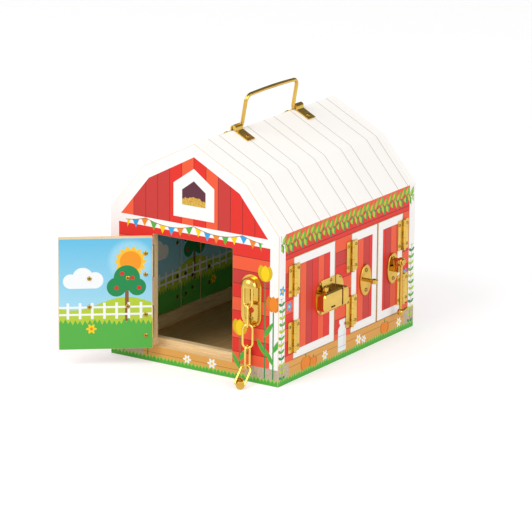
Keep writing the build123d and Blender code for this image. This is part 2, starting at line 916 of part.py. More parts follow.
link_normal = link_side.cross(link_down)
neck_line = Vector(link_normal.X, link_normal.Y, 0).normalized()
neck_over_wire = neck_line.cross(link_side).normalized()
neck_above_wire = (link_wire / 2 + link_gap + knob_neck) / abs(neck_over_wire.dot(link_down))
knob_centre = last_top + link_down * (link_drop - neck_above_wire)
knob_disc = knob_centre.Z - floor_gap
with BuildPart() as chain_knob:
    with BuildSketch(Plane(origin=knob_centre, x_dir=(0, 0, 1), z_dir=neck_line)):
        Circle(knob_neck)
    extrude(amount=knob_neck_length / 2, both=True)
    for end in (-1, 1):
        disc_centre = knob_centre + neck_line * (end * knob_neck_length / 2)
        with BuildSketch(Plane(origin=disc_centre, x_dir=(0, 0, 1), z_dir=neck_line * end)):
            Circle(knob_disc)
        extrude(amount=knob_disc_thickness)
    rims = chain_knob.edges().filter_by(GeomType.CIRCLE).filter_by(lambda edge: edge.radius > knob_neck)
    fillet(rims, knob_disc_thickness / 4)
save(chain_knob, "chain_knob")

with BuildPart() as chain_track:
    with BuildSketch(track_plane) as track_outline:
        Rectangle(*track_plate)
        fillet(track_outline.vertices(), track_corner)
    extrude(amount=sheet)
    with BuildSketch(track_plane) as channel_outline:
        Rectangle(*track_channel)
        fillet(channel_outline.vertices(), track_corner)
    extrude(amount=track_rise)
    with BuildSketch(track_plane) as cavity_outline:
        Rectangle(track_channel[0] - 2 * sheet, track_channel[1] - 2 * sheet)
        fillet(cavity_outline.vertices(), track_corner - sheet)
    extrude(amount=track_rise - sheet, mode=Mode.SUBTRACT)
    entry_x = track_entry_inset - track_channel[0] / 2
    slot_end_x = track_channel[0] / 2 - track_slot_inset
    with BuildSketch(track_plane):
        with Locations((entry_x, 0)):
            Circle(track_entry)
        with Locations(((entry_x + slot_end_x) / 2, 0)):
            SlotCenterToCenter(slot_end_x - entry_x, 2 * track_slot)
    extrude(amount=track_rise, mode=Mode.SUBTRACT)
    with Locations(*track_rivet_planes):
        Hole(rivet_hole, 2 * sheet)
save(chain_track, "chain_track")

# ---------------------------------------------------------------------------------------------
# Box latch
# ---------------------------------------------------------------------------------------------

flange_centre = keeper_edge_reach + keeper_length + latch_flange_overhang - latch_flange[0] / 2
case_level = latch_height - latch_case_drop


def latch_cover(start, length, closed_end):
    """A flanged sheet cover over the bolt's path, open towards the seam between door and post."""
    centre = on_face(latch_face, start + length / 2, case_level)
    closed_group = -1 if closed_end > 0 else 0
    with BuildPart() as cover:
        with BuildSketch(on_face(latch_face, flange_centre, latch_height)) as flange_outline:
            Rectangle(*latch_flange)
            fillet(flange_outline.vertices(), latch_flange_corner)
        extrude(amount=sheet)
        keep = Plane(
            origin=on_face(latch_face, start if closed_end > 0 else start + length, latch_height).origin,
            z_dir=latch_face.x_dir * closed_end,
        )
        split(bisect_by=keep, keep=Keep.TOP)
        with BuildSketch(centre) as cover_outline:
            Rectangle(length, latch_case_height)
            fillet(cover_outline.vertices().group_by(Axis.X)[closed_group], latch_corner)
        extrude(amount=latch_rise)
        chamfer(cover.faces().sort_by(Axis.X)[-1].edges(), latch_edge)
        with BuildSketch(centre) as hollow_outline:
            with Locations((-closed_end * latch_sheet, 0)):
                Rectangle(length, latch_case_height - 2 * latch_sheet)
            fillet(hollow_outline.vertices().group_by(Axis.X)[closed_group], latch_corner - latch_sheet)
        extrude(amount=latch_rise - latch_sheet, mode=Mode.SUBTRACT)
    return cover


case_start = latch_edge_reach - latch_case_length
knob_reach = latch_edge_reach - knob_inset
case_cover = latch_cover(case_start, latch_case_length, -1)
with BuildPart() as latch_case:
    add(case_cover.part)
    with Locations(*latch_rivet_planes):
        Hole(rivet_hole, 2 * sheet)
    slot_length = bolt_travel + 2 * (knob_stem + knob_slot_fit)
    slot_centre = on_face(latch_face, knob_reach + bolt_travel / 2, case_level, (bolt_low + bolt_high) / 2)
    with Locations(Plane(origin=slot_centre.origin, x_dir=latch_face.x_dir, z_dir=(0, 0, 1))):
        Box(
            slot_length,
            2 * (knob_stem + knob_slot_fit),
            latch_case_height,
            align=(Align.CENTER, Align.CENTER, Align.MIN),
            mode=Mode.SUBTRACT,
        )
    with Locations(on_face(latch_face, latch_edge_reach - face_slot_inset, case_level - face_slot_drop, latch_rise)):
        Box(*face_slot, 4 * latch_sheet, mode=Mode.SUBTRACT)
save(latch_case, "latch_case")

keeper_cover = latch_cover(keeper_edge_reach, keeper_length, 1)
with BuildPart() as latch_keeper:
    add(keeper_cover.part)
    with Locations(*keeper_rivet_planes):
        Hole(rivet_hole, 2 * sheet)
save(latch_keeper, "latch_keeper")

with BuildPart() as latch_bolt:
    bolt_centre = on_face(latch_face, latch_edge_reach - latch_edge_inset - bolt_length / 2, case_level, bolt_low)
    with BuildSketch(bolt_centre):
        Rectangle(bolt_length, bolt_height)
    extrude(amount=bolt_high - bolt_low)
    chamfer(latch_bolt.faces().sort_by(Axis.Y)[-1].edges(), latch_edge)
save(latch_bolt, "latch_bolt")

with BuildPart() as latch_knob:
    knob_base = on_face(latch_face, knob_reach, case_level + bolt_height / 2, (bolt_low + bolt_high) / 2)
    knob_head_start = latch_case_height / 2 + knob_head_gap - bolt_height / 2
    with BuildSketch(Plane(origin=knob_base.origin, x_dir=latch_face.x_dir, z_dir=(0, 0, 1))):
        Circle(knob_stem)
    extrude(amount=knob_head_start)
    with BuildSketch(
        Plane(
            origin=knob_base.origin + Vector(0, 0, knob_head_start),
            x_dir=latch_face.x_dir,
            z_dir=(0, 0, 1),
        )
    ):
        Circle(knob_head)
    extrude(amount=knob_head_length)
    chamfer(latch_knob.faces().sort_by(Axis.Z)[-1].edges(), thumb_slot_width / 2)
    with Locations(latch_knob.faces().sort_by(Axis.Z)[-1].center()):
        Box(thumb_slot_width, 2 * knob_head, 2 * thumb_slot_width, mode=Mode.SUBTRACT)
save(latch_knob, "latch_knob")

# ---------------------------------------------------------------------------------------------
# Cabin hook
# ---------------------------------------------------------------------------------------------


def oval_base(plane):
    """The cast oval plate with rounded edge and two screw holes."""
    with BuildPart() as base:
        with BuildSketch(plane):
            Ellipse(oval_width / 2, oval_height / 2)
        extrude(amount=oval_plate)
        fillet(base.faces().sort_by(Axis.X)[-1].edges(), oval_edge)
        with Locations(*[on_face(plane, 0, side * oval_screw_rise, oval_plate) for side in (-1, 1)]):
            Hole(screw_hole, 2 * oval_plate)
    return base


eye_base = oval_base(eye_plane)
eye_centre = on_face(eye_plane, 0, 0, hook_out).origin
with BuildPart() as eye_ring:
    with BuildSketch(Plane(origin=eye_centre - Vector(0, 0, eye_thickness / 2), z_dir=(0, 0, 1))):
        Circle(eye_radius)
    extrude(amount=eye_thickness)
    fillet(eye_ring.edges(), oval_edge)

with BuildPart() as hook_eye:
    add(eye_base.part)
    with BuildSketch(eye_plane):
        Circle(post_radius)
    extrude(amount=hook_out)
    add(eye_ring.part)
    with Locations(Plane(origin=eye_centre + Vector(0, 0, eye_thickness / 2), z_dir=(0, 0, 1))):
        Hole(eye_bore, eye_thickness)
save(hook_eye, "hook_eye")
group(board_screw, oval_screws["right_middle_door"], "hook_eye_screws")

pivot_base = oval_base(pivot_plate_plane)
pivot_top = hook_out + hook_ring_thickness / 2 + pivot_end_gap
with BuildPart() as hook_pivot_plate:
    add(pivot_base.part)
    with BuildSketch(pivot_plate_plane):
        Circle(arm_radius)
    extrude(amount=arm_high)
    with BuildSketch(pivot_plate_plane.offset(arm_low)):
        with Locations((0, hook_pivot_rise / 2)):
            SlotCenterToCenter(hook_pivot_rise, 2 * arm_radius, rotation=90)
    extrude(amount=arm_high - arm_low)
    with BuildSketch(pivot_plane.offset(arm_low)):
        Circle(pivot_radius)
    extrude(amount=pivot_top - arm_low)
    with BuildSketch(pivot_plane.offset(pivot_top)):
        Circle(pivot_head)
    extrude(amount=pivot_head_rise)
    fillet(hook_pivot_plate.faces().sort_by(Axis.X)[-1].edges(), pivot_head_rise / 2)
save(hook_pivot_plate, "hook_pivot_plate")
group(board_screw, oval_screws["right_rear_door"], "hook_pivot_screws")

hook_reach = hypot(pivot_y - eye_y, hook_pivot_rise)
eye_below_pivot = degrees(atan2(hook_pivot_rise, pivot_y - eye_y))
ball_above_eye = eye_thickness / 2 + hook_ball_gap + hook_ball
hook_closed_drop = eye_below_pivot - degrees(ball_above_eye / hook_reach)
hook_closed_angle = 180.0 + hook_closed_drop
hook_rest = Plane(
    origin=pivot_plane.offset(hook_out).origin,
    x_dir=(0, cos(radians(hook_rest_angle)), sin(radians(hook_rest_angle))),
    z_dir=right_face.z_dir,
)
hook_pivot_axis = Axis(hook_rest.origin, hook_rest.z_dir)
hook_tip_turn = degrees(hook_tip_length / hook_reach)

with BuildPart() as cabin_hook:
    with BuildSketch(hook_rest.offset(-hook_ring_thickness / 2)):
        Circle(hook_ring)
    extrude(amount=hook_ring_thickness)
    fillet(cabin_hook.edges(), oval_edge)
    with BuildSketch(Plane(origin=hook_rest.origin, z_dir=hook_rest.x_dir)):
        Circle(hook_rod)
    extrude(amount=hook_reach)
    with Locations(hook_rest):
        with Locations((hook_reach, 0, 0)):
            Sphere(hook_ball)
    with BuildSketch(Plane(origin=hook_rest.from_local_coords(Vector(hook_reach, 0, 0)), z_dir=hook_rest.y_dir)):
        Circle(hook_tip)
    revolve(axis=hook_pivot_axis, revolution_arc=hook_tip_turn)
    with Locations(turned(hook_rest, hook_tip_turn)):
        with Locations((hook_reach, 0, 0)):
            Sphere(hook_tip)
    with Locations(hook_rest.offset(hook_ring_thickness / 2)):
        Hole(pivot_radius + pivot_fit, hook_ring_thickness)
save(cabin_hook, "cabin_hook")

# ---------------------------------------------------------------------------------------------
# Barrel bolt
# ---------------------------------------------------------------------------------------------

barrel_out = sheet + guide_shoulder + barrel_radius
arch_radius = barrel_radius + barrel_fit + guide_wall


def arch(start):
    """A guide arch over the bolt, drawn across its path and standing on the plate."""
    foot = on_face(barrel_face, start, barrel_height).origin
    across = Plane(origin=foot, x_dir=barrel_face.z_dir, z_dir=barrel_face.x_dir)
    with BuildPart() as bridge:
        with BuildSketch(across):
            with Locations((barrel_out, 0)):
                Circle(arch_radius)
            Rectangle(barrel_out, 2 * arch_radius, align=(Align.MIN, Align.CENTER))
            Rectangle(barrel_out, 2 * arch_radius, align=(Align.MAX, Align.CENTER), mode=Mode.SUBTRACT)
            with Locations((barrel_out, 0)):
                Circle(barrel_radius + barrel_fit, mode=Mode.SUBTRACT)
        extrude(amount=guide_width)
    return bridge


guide_end = barrel_edge - barrel_inset
guide_start = guide_end - barrel_plate[0]
guide_arches = [arch(guide_start), arch(guide_end - guide_width)]
with BuildPart() as bolt_guide:
    with BuildSketch(on_face(barrel_face, (guide_start + guide_end) / 2, barrel_height)) as guide_outline:
        Rectangle(*barrel_plate)
        fillet(guide_outline.vertices(), leaf_corner)
    extrude(amount=sheet)
    for bridge in guide_arches:
        add(bridge.part)
    with Locations(*barrel_rivet_planes):
        Hole(rivet_hole, 2 * sheet)
save(bolt_guide, "bolt_guide")

keeper_arch = arch(barrel_keeper_edge)
with BuildPart() as bolt_keeper:
    with BuildSketch(
        on_face(barrel_face, barrel_keeper_edge + bolt_keeper_plate[0] / 2, barrel_height)
    ) as keeper_outline:
        Rectangle(*bolt_keeper_plate)
        fillet(keeper_outline.vertices(), leaf_corner)
    extrude(amount=sheet)
    add(keeper_arch.part)
    with Locations(*bolt_keeper_rivet_planes):
        Hole(rivet_hole, 2 * sheet)
save(bolt_keeper, "bolt_keeper")

with BuildPart() as barrel_bolt:
    tail = on_face(barrel_face, barrel_edge - barrel_tip_inset - barrel_length, barrel_height, barrel_out)
    with BuildSketch(Plane(origin=tail.origin, z_dir=barrel_face.x_dir)):
        Circle(barrel_radius)
    extrude(amount=barrel_length)
    chamfer(barrel_bolt.edges(), guide_shoulder)
    knob_foot = on_face(barrel_face, barrel_edge - barrel_knob_reach, barrel_height)
    with BuildSketch(knob_foot.offset(barrel_out)):
        Circle(barrel_knob_stem)
    extrude(amount=barrel_knob_out - barrel_out)
    with BuildSketch(knob_foot.offset(barrel_knob_out)):
        Circle(barrel_knob_head)
    extrude(amount=barrel_knob_length)
    fillet(barrel_bolt.faces().sort_by(Axis.X)[0].edges(), barrel_knob_length / 4)
save(barrel_bolt, "barrel_bolt")

# ---------------------------------------------------------------------------------------------
# Hasp and turning staple
# ---------------------------------------------------------------------------------------------

hasp_pin_point = on_face(hasp_face, hasp_pin_reach, hasp_height, pin_standoff).origin
hasp_frame = Plane(origin=hasp_pin_point, x_dir=hasp_face.x_dir * -1, z_dir=(0, 0, 1))
hasp_rest = turned(hasp_frame, hasp_open)


def hasp_barrel(plane, starts):
    """Hasp knuckles around the pin, from the given heights."""
    with BuildPart() as barrel:
        with BuildSketch(*[plane.offset(start) for start in starts]):
            Circle(knuckle_radius)
        extrude(amount=hasp_knuckle)
    return barrel


hasp_rows = (-1.5 * hasp_knuckle - knuckle_gap, 0.5 * hasp_knuckle + knuckle_gap)
fixed_barrel = hasp_barrel(hasp_frame, hasp_rows)
with BuildPart() as hasp_base:
    with BuildSketch(on_face(hasp_face, hasp_pin_reach + hasp_plate_length / 2, hasp_height)) as base_outline:
        with Locations((leaf_start / 2, 0)):
            Rectangle(hasp_plate_length - leaf_start, hasp_plate_height)
        with Locations(*[(-hasp_plate_length / 2 + leaf_start / 2, row + hasp_knuckle / 2) for row in hasp_rows]):
            Rectangle(leaf_start + leaf_relief, hasp_knuckle)
    extrude(amount=sheet)
    add(fixed_barrel.part)
    with Locations(hasp_frame):
        Cylinder(pin_radius + pin_fit, 4 * hasp_knuckle, mode=Mode.SUBTRACT)
    with Locations(*hasp_rivet_planes):
        Hole(rivet_hole, 2 * sheet)
save(hasp_base, "hasp_base")

with BuildPart() as hasp_pin:
    hasp_pin_length = 3 * hasp_knuckle + 2 * knuckle_gap
    with Locations(hasp_frame):
        Cylinder(pin_radius, hasp_pin_length)
        with Locations(*[(0, 0, end * (hasp_pin_length + pin_head) / 2) for end in (-1, 1)]):
            Cylinder(knuckle_radius, pin_head)
save(hasp_pin, "hasp_pin")

strap_barrel = hasp_barrel(hasp_rest, (-hasp_knuckle / 2,))
with BuildPart() as hasp_strap:
    strap_sketch_plane = Plane(
        origin=hasp_rest.from_local_coords(Vector(0, strap_leaf_low - pin_standoff, 0)),
        x_dir=hasp_rest.x_dir,
        z_dir=hasp_rest.y_dir,
    )
    with BuildSketch(strap_sketch_plane) as strap_outline:
        with Locations(((leaf_start + strap_leaf_length) / 2, 0)):
            Rectangle(strap_leaf_length - leaf_start, strap_leaf_height)
        far_corners = strap_outline.vertices().sort_by_distance(strap_sketch_plane.origin)[-2:]
        fillet(far_corners, strap_leaf_corner)
        with Locations((leaf_start / 2, 0)):
            Rectangle(leaf_start + leaf_relief, hasp_knuckle)
        with Locations((staple_reach + strap_slot_shift, 0)):
            Rectangle(*strap_slot, mode=Mode.SUBTRACT)
    extrude(amount=strap_leaf_sheet)
    add(strap_barrel.part)
    with Locations(hasp_rest):
        Cylinder(pin_radius + pin_fit, hasp_knuckle, mode=Mode.SUBTRACT)
save(hasp_strap, "hasp_strap")

with BuildPart() as staple_plate:
    with BuildSketch(staple_plane) as staple_outline:
        Rectangle(*staple_plate_size)
        fillet(staple_outline.vertices(), leaf_corner)
        Circle(staple_neck + staple_fit, mode=Mode.SUBTRACT)
    extrude(amount=sheet)
    with Locations(*staple_rivet_planes):
        Hole(rivet_hole, 2 * sheet)
save(staple_plate, "staple_plate")

with BuildPart() as turning_staple:
    with BuildSketch(staple_plane.offset(-staple_set)):
        Circle(staple_neck)
    extrude(amount=staple_set + staple_low + staple_neck)
    with BuildSketch(staple_plane.offset(staple_low)) as staple_foot:
        Rectangle(staple_thickness, staple_width)
    extrude(amount=staple_high - staple_low)
    crown = turning_staple.faces().sort_by(Axis.X)[0].edges().filter_by(Axis.Y)
    fillet(crown, staple_shoulder)
    with Locations(
        Plane(
            origin=staple_plane.offset((staple_low + staple_high) / 2 + guide_shoulder).origin,
            z_dir=staple_plane.x_dir,
        )
    ):
        Cylinder(staple_eye, 2 * staple_thickness, mode=Mode.SUBTRACT)
save(turning_staple, "turning_staple")
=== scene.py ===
import json
import math

import bpy
import numpy as np
from mathutils import Matrix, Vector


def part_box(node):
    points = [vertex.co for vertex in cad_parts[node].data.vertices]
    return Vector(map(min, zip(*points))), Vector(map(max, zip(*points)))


bl_info = {
    "name": "Toy Barn",
    "version": (1, 0, 0),
    "blender": (4, 5, 0),
    "location": "View3D > Sidebar > Toy Barn",
    "description": "Paints, prints and polishes a wooden toy barn with latched doors",
    "category": "Object",
}

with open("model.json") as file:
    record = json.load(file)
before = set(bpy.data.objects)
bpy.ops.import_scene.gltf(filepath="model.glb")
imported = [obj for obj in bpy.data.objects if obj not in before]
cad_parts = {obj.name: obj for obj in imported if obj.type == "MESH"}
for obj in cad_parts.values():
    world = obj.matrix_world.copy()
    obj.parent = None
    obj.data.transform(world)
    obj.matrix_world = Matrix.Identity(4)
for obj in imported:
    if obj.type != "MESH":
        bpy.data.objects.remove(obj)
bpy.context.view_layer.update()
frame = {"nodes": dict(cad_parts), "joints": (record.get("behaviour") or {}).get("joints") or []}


def millimetres(node):
    """Lowest and highest corner of a CAD node, in millimetres."""
    low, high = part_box(node)
    return low * 1000, high * 1000


# Places that the prints are drawn against, in millimetres in the barn's own frame.
FRONT_LOW, FRONT_HIGH = millimetres("front_wall")
HALF_WIDTH = FRONT_HIGH.x
FRONT = FRONT_LOW.y
WALL = FRONT_HIGH.y - FRONT_LOW.y
BACK = millimetres("rear_wall")[1].y
LENGTH = BACK - FRONT
EAVE = millimetres("right_wall")[1].z

JOINTS = {joint["name"]: joint for joint in frame["joints"]}
DOORS = (
    "front_door",
    "right_front_door",
    "right_middle_door",
    "right_rear_door",
    "left_front_door",
    "left_rear_door",
)

# Just above the floor board, and from a door's hinge axis in to its outer face.
FLOOR_TOP = 7.25
STANDOFF = 2.0

# How deep a print reaches into its face, the darker ply under it, and how wide edges fade.
SKIN = 0.06
OUTER_PLY = 0.44
SOFT_EDGE = 0.25
FACE_EDGE = 0.02

# The gable's print: outlines as half widths and heights, and the heights of its bands.
GABLE_FIELD = ((0.0, 234.4), (58.0, 203.5), (94.2, 159.5))
LOFT_TRIM = ((0.0, 221.7), (26.0, 203.3))
LOFT_TRIM_FOOT = 167.0
LOFT_WINDOW = ((0.0, 208.3), (15.0, 197.3))
LOFT_SILL = 181.0
STRAW_TOP = 186.5
BUNTING_HEIGHT = 153.5
SIDING_TOP = 150.0
LINTEL_FOOT = 142.2
GABLE_FOOTING = 18.4
STONE_START = 66.0
GABLE_DAISIES = ((24.0, 11.5, 4.6), (-8.0, 10.5, 4.2))

# Tulips by half width, height, colour and the share of it in the outer petals.
TULIP_FOOT = 6.0
TULIPS = ((91.0, 116.0, "yellow", 0.75), (101.5, 84.0, "orange", 0.8), (59.5, 52.0, "yellow", 0.75))

# The long walls' print: heights of its bands, then places by distance from the front and height.
SIDING_SEAM = 30.9
RAIL_HEIGHT = 141.5
SIDE_FOOTING = 23.4
STONE_REACH = 21.0
GARLAND_DROP = 11.0
GARLAND_WAVE = 27.5
CLIMB_TOP = 96.0
CHURN = (126.0, 10.0)
PUMPKINS = ((54.0, 13.5, 8.6), (69.0, 11.5, 6.0), (214.0, 13.0, 7.6))
BLUE_FLOWERS = ((7.2, 104.0), (20.5, 84.0), (255.5, 66.0))
BLUE_RADIUS = 4.4
SIDE_DAISIES = ((92.0, 12.5, 4.6), (160.0, 13.0, 4.8), (171.0, 10.5, 3.8), (244.0, 12.0, 4.4))

# The meadow inside: the sun's place along each picture, then places within the repeated stretch.
SUN_AT = {"right": 30.0, "left": 204.0, "gable": 150.0, "front": 24.0}
SUN_HEIGHT = 116.0
MEADOW_FOOT = 24.5
MEADOW_PITCH = 118.0
CLOUD = ((62.0, 96.0, 9.0), (75.0, 99.0, 11.0), (88.0, 95.0, 8.0))
CROWN = ((28.0, 98.0, 14.0), (17.0, 88.0, 9.5), (39.0, 88.0, 10.5))
FRUIT = ((22.0, 98.0, 2.3), (33.0, 103.0, 2.3), (39.0, 87.0, 2.3), (15.0, 87.0, 2.3))
FENCE_HEIGHT = 62.0
FENCE_PITCH = 13.0

# The roof's grooves and the painted shade line where the inner walls meet the floor.
ROOF_START = 27.0
ROOF_GROOVE = 0.84
FLOOR_SHADE_LINE = 1.0


def linear(code):
    """Linear colour of a hex code."""
    values = [int(code[i : i + 2], 16) / 255 for i in (0, 2, 4)]
    return tuple(v / 12.92 if v <= 0.04045 else ((v + 0.055) / 1.055) ** 2.4 for v in values)


# ---------------------------------------------------------------------------------------------
# Sizes and colours that a user would change
# ---------------------------------------------------------------------------------------------


def colour(name, description, code):
    """A colour setting whose default is a hex code."""
    return bpy.props.FloatVectorProperty(
        name=name, description=description, default=linear(code), subtype="COLOR", min=0.0, max=1.0
    )


def number(name, description, default, unit="NONE"):
    """A setting that is zero or more."""
    return bpy.props.FloatProperty(name=name, description=description, default=default, min=0.0, unit=unit)


class BarnPaint(bpy.types.PropertyGroup):
    """Colours of the paint and the prints."""

    white: colour("White trim", "Trim and door frames", "FCF9F6")
    roof: colour("Roof white", "Roof boards", "FAF6F1")
    red: colour("Barn red", "Most of the boards", "E52F24")
    red_pale: colour("Pale red", "The lighter boards", "F25D38")
    red_deep: colour("Deep red", "The darker boards", "CB3934")
    seam: colour("Board seams", "Lines between boards", "8A1F1C")
    groove: colour("Roof grooves", "Lines down the roof", "A39883")
    loft: colour("Loft window", "Dark loft opening", "5C2B3A")
    straw: colour("Straw", "Straw in the loft", "E7B84C")
    ochre: colour("Footing boards", "Ochre boards at the base", "E2A552")
    ochre_line: colour("Footing seams", "Lines in the ochre boards", "B4742C")
    stone: colour("Footing stone", "Stone blocks at the corners", "B8A78F")
    grass: colour("Grass", "Grass strip", "4FAE3C")
    grass_pale: colour("Pale grass", "Tips of the grass", "8CCB45")
    leaf_dark: colour("Dark leaf", "Dark leaves of the garland", "1F8A4C")
    leaf: colour("Leaf", "Middle leaves of the garland", "57B13C")
    leaf_pale: colour("Pale leaf", "Light leaves of the garland", "B4D330")
    vine: colour("Stem", "Woody stems", "8A5A3A")
    sky: colour("Sky", "Upper sky", "5DBDE4")
    sky_pale: colour("Pale sky", "Sky near the hills", "A9DDF0")
    cloud: colour("Cloud", "Clouds", "F4F7F8")
    sun: colour("Sun", "Sun disc", "F59A22")
    sun_pale: colour("Sun rays", "Rays of the sun", "FBC636")
    hill: colour("Far hill", "Lime hill", "B7CE3C")
    hill_near: colour("Near hill", "Green hill", "57B147")
    apple: colour("Red fruit", "Apples and berries", "D8322B")
    yellow: colour("Yellow petals", "Tulips and flags", "FBD313")
    orange: colour("Orange", "Pumpkins and flags", "F08A24")
    blue: colour("Blue", "Small flowers and flags", "35A7E0")
    raw: colour("Bare wood", "Plywood edges and floor", "F8DFB2")
    # Painted shade: this tint darkens the floor board's top face, which lies inside the barn.
    painted_floor_shade: colour("Aged tint", "Tint that darkens the bare floor board", "DCCBB0")
    # Also tints the painted shade line along the foot of the inner walls.
    raw_dark: colour("Wood grain", "Grain of the bare wood", "E2BC84")


class BarnBoards(bpy.types.PropertyGroup):
    """Sizes of the printed boards and trim, in millimetres."""

    gable_board: number("Gable board", "Width of a board in the gable, mm", 15.5)
    siding_board: number("Siding board", "Height of a board on the walls, mm", 15.06)
    door_board: number("Door board", "Width of a board on a door, mm", 11.6)
    trim: number("Corner trim", "Width of the white corner trim, mm", 11.0)
    door_trim: number("Door trim", "Width of a door's white frame, mm", 9.6)
    seam: number("Seam", "Width of a printed seam, mm", 0.8)
    roof_period: number("Roof period", "Distance after which the roof grooves repeat, mm", 52.8)
    roof_step: number("Roof step", "Width of the narrow roof board, mm", 20.0)


class BarnBrass(bpy.types.PropertyGroup):
    """Finish of the metal parts."""

    sheet: colour("Pressed brass", "Hinges, plates and latch cases", "DFBA5A")
    cast: colour("Cast brass", "Hook, eyes, knobs and bolts", "D9AE4E")
    chain: colour("Chain brass", "Chain links", "F3D06A")
    wire: colour("Handle brass", "Carrying handle", "DFB658")
    roughness: bpy.props.FloatProperty(
        name="Roughness", description="Polish of the brass", default=0.17, min=0.02, max=1.0
    )


class BarnStage(bpy.types.PropertyGroup):
    """Light and floor."""

    sky_level: number("Surrounding light", "Light from all round", 0.74)
    key_power: number("Key light", "Lamp in front of the barn", 40.0, "POWER")
    fill_power: number("Fill light", "Lamp at the barn's right side", 22.0, "POWER")
    floor: colour("Floor", "Colour of the floor", "D2D2D2")
    floor_lift: number("Floor lift", "Light added to the floor", 0.42)


# ---------------------------------------------------------------------------------------------
# Materials
# ---------------------------------------------------------------------------------------------


class Field:
    """A socket whose value differs over a surface. Arithmetic on it adds Math nodes."""

    def __init__(self, paint, socket):
        self.paint = paint
        self.socket = socket

    def math(self, operation, *others, clamp=False):
        inputs = {0: self}
        inputs.update({i: other for i, other in enumerate(others, start=1)})
        return self.paint.node("ShaderNodeMath", {"operation": operation, "use_clamp": clamp}, inputs)

    def __add__(self, other):
        return self.math("ADD", other)

    __radd__ = __add__

    def __sub__(self, other):
        return self.math("SUBTRACT", other)

    def __rsub__(self, other):
        return self.math("MULTIPLY_ADD", -1.0, other)

    def __mul__(self, other):
        return self.math("MULTIPLY", other)

    __rmul__ = __mul__

    def __truediv__(self, other):
        return self.math("DIVIDE", other)

    def __neg__(self):
        return self.math("MULTIPLY", -1.0)

    def __abs__(self):
        return self.math("ABSOLUTE")

    def low(self, other):
        return self.math("MINIMUM", other)

    def high(self, other):
        return self.math("MAXIMUM", other)

    def floor(self):
        return self.math("FLOOR")

    def sine(self):
        return self.math("SINE")

    def wrap(self, pitch, middle=0.0):
        """The value carried back by whole pitches to within half a pitch of the middle."""
        return self.math("WRAP", middle + pitch / 2, middle - pitch / 2)

    def inside(self, soft=SOFT_EDGE):
        """1 where a signed distance in millimetres is below zero, 0 where it is above."""
        return self.math("MULTIPLY_ADD", -1.0 / soft, 0.5, clamp=True)


class Paint:
    """A new material by name, or a given world, built from expressions on coordinates in millimetres."""

    def __init__(self, owner):
        self.owner = bpy.data.materials.new(owner) if isinstance(owner, str) else owner
        self.owner.use_nodes = True
        self.tree = self.owner.node_tree
        self.tree.nodes.clear()
        place = self.node("ShaderNodeTexCoord", output="Object")
        self.place = self.node("ShaderNodeVectorMath", {"operation": "SCALE"}, {0: place, "Scale": 1000.0})
        self.x = self.node("ShaderNodeSeparateXYZ", {}, {0: self.place}, "X")
        parts = self.x.socket.node.outputs
        self.y = Field(self, parts["Y"])
        self.z = Field(self, parts["Z"])

    def node(self, kind, settings=None, inputs=None, output=0):
        """Adds a node: its settings first, then its inputs as values or links, and returns one output."""
        made = self.tree.nodes.new(kind)
        for key, value in (settings or {}).items():
            if key == "stops":
                ramp = made.color_ramp
                while len(ramp.elements) < len(value):
                    ramp.elements.new(1.0)
                for element, (position, tint) in zip(ramp.elements, value):
                    element.position = position
                    element.color = (*tint, 1.0)
            elif key == "steps":
                made.color_ramp.interpolation = "CONSTANT" if value else "LINEAR"
            else:
                setattr(made, key, value)
        for key, value in (inputs or {}).items():
            socket = made.inputs[key]
            if isinstance(value, Field):
                self.tree.links.new(value.socket, socket)
            elif socket.type == "RGBA":
                socket.default_value = (*value, 1.0)
            else:
                socket.default_value = value
        return Field(self, made.outputs[output])

    def over(self, base, tint, mask, blend="MIX"):
        """Lays a colour over another where the mask is 1."""
        settings = {"data_type": "RGBA", "blend_type": blend}
        return self.node("ShaderNodeMix", settings, {0: mask, 6: base, 7: tint}, 2)

    def multiply(self, base, tint, mask):
        """Darkens a colour by another where the mask is 1."""
        return self.over(base, tint, mask, "MULTIPLY")

    def point(self, u, v, w=0.0):
        return self.node("ShaderNodeCombineXYZ", {}, {0: u, 1: v, 2: w})

    def random(self, cell):
        """A value between 0 and 1 for each whole number."""
        return self.node("ShaderNodeTexWhiteNoise", {"noise_dimensions": "1D"}, {"W": cell})

    def noise(self, vector, scale, detail=2.0, rough=0.5):
        inputs = {"Vector": vector, "Scale": scale, "Detail": detail, "Roughness": rough}
        return self.node("ShaderNodeTexNoise", {}, inputs)

    def ramp(self, value, stops, steps=False):
        return self.node("ShaderNodeValToRGB", {"stops": stops, "steps": steps}, {0: value})

    def bump(self, height, distance, strength):
        inputs = {"Height": height, "Distance": distance, "Strength": strength}
        return self.node("ShaderNodeBump", {}, inputs)

    def finish(self, base, roughness, metallic=0.0, normal=None, shine=0.5):
        """Ends the material in a Principled shader."""
        inputs = {"Base Color": base, "Roughness": roughness, "Metallic": metallic}
        inputs["Specular IOR Level"] = shine
        if normal is not None:
            inputs["Normal"] = normal
        self.surface(self.node("ShaderNodeBsdfPrincipled", {}, inputs))
        return self.owner

    def surface(self, shader):
        """Joins a shader to the output of the material or world."""
        lit = isinstance(self.owner, bpy.types.World)
        end = self.tree.nodes.new("ShaderNodeOutputWorld" if lit else "ShaderNodeOutputMaterial")
        self.tree.links.new(shader.socket, end.inputs["Surface"])


# Signed distances in millimetres, below zero inside the shape.


def rectangle(u, v, u0, u1, v0, v1):
    """Distance outside a rectangle: the larger of the two distances past its sides."""
    across = abs(u - (u0 + u1) / 2) - (u1 - u0) / 2
    up = abs(v - (v0 + v1) / 2) - (v1 - v0) / 2
    return across.high(up)


def away(u, v, cu, cv):
    """Distance from a point: the root of the summed squares."""
    du = u - cu
    dv = v - cv
    return (du * du + dv * dv).math("SQRT")


def disc(u, v, cu, cv, radius):
    return away(u, v, cu, cv) - radius


def cluster(u, v, discs):
    """Discs joined, each by its centre and radius: the smallest of their distances."""
    joined = None
    for cu, cv, radius in discs:
        part = disc(u, v, cu, cv, radius)
        joined = part if joined is None else joined.low(part)
    return joined


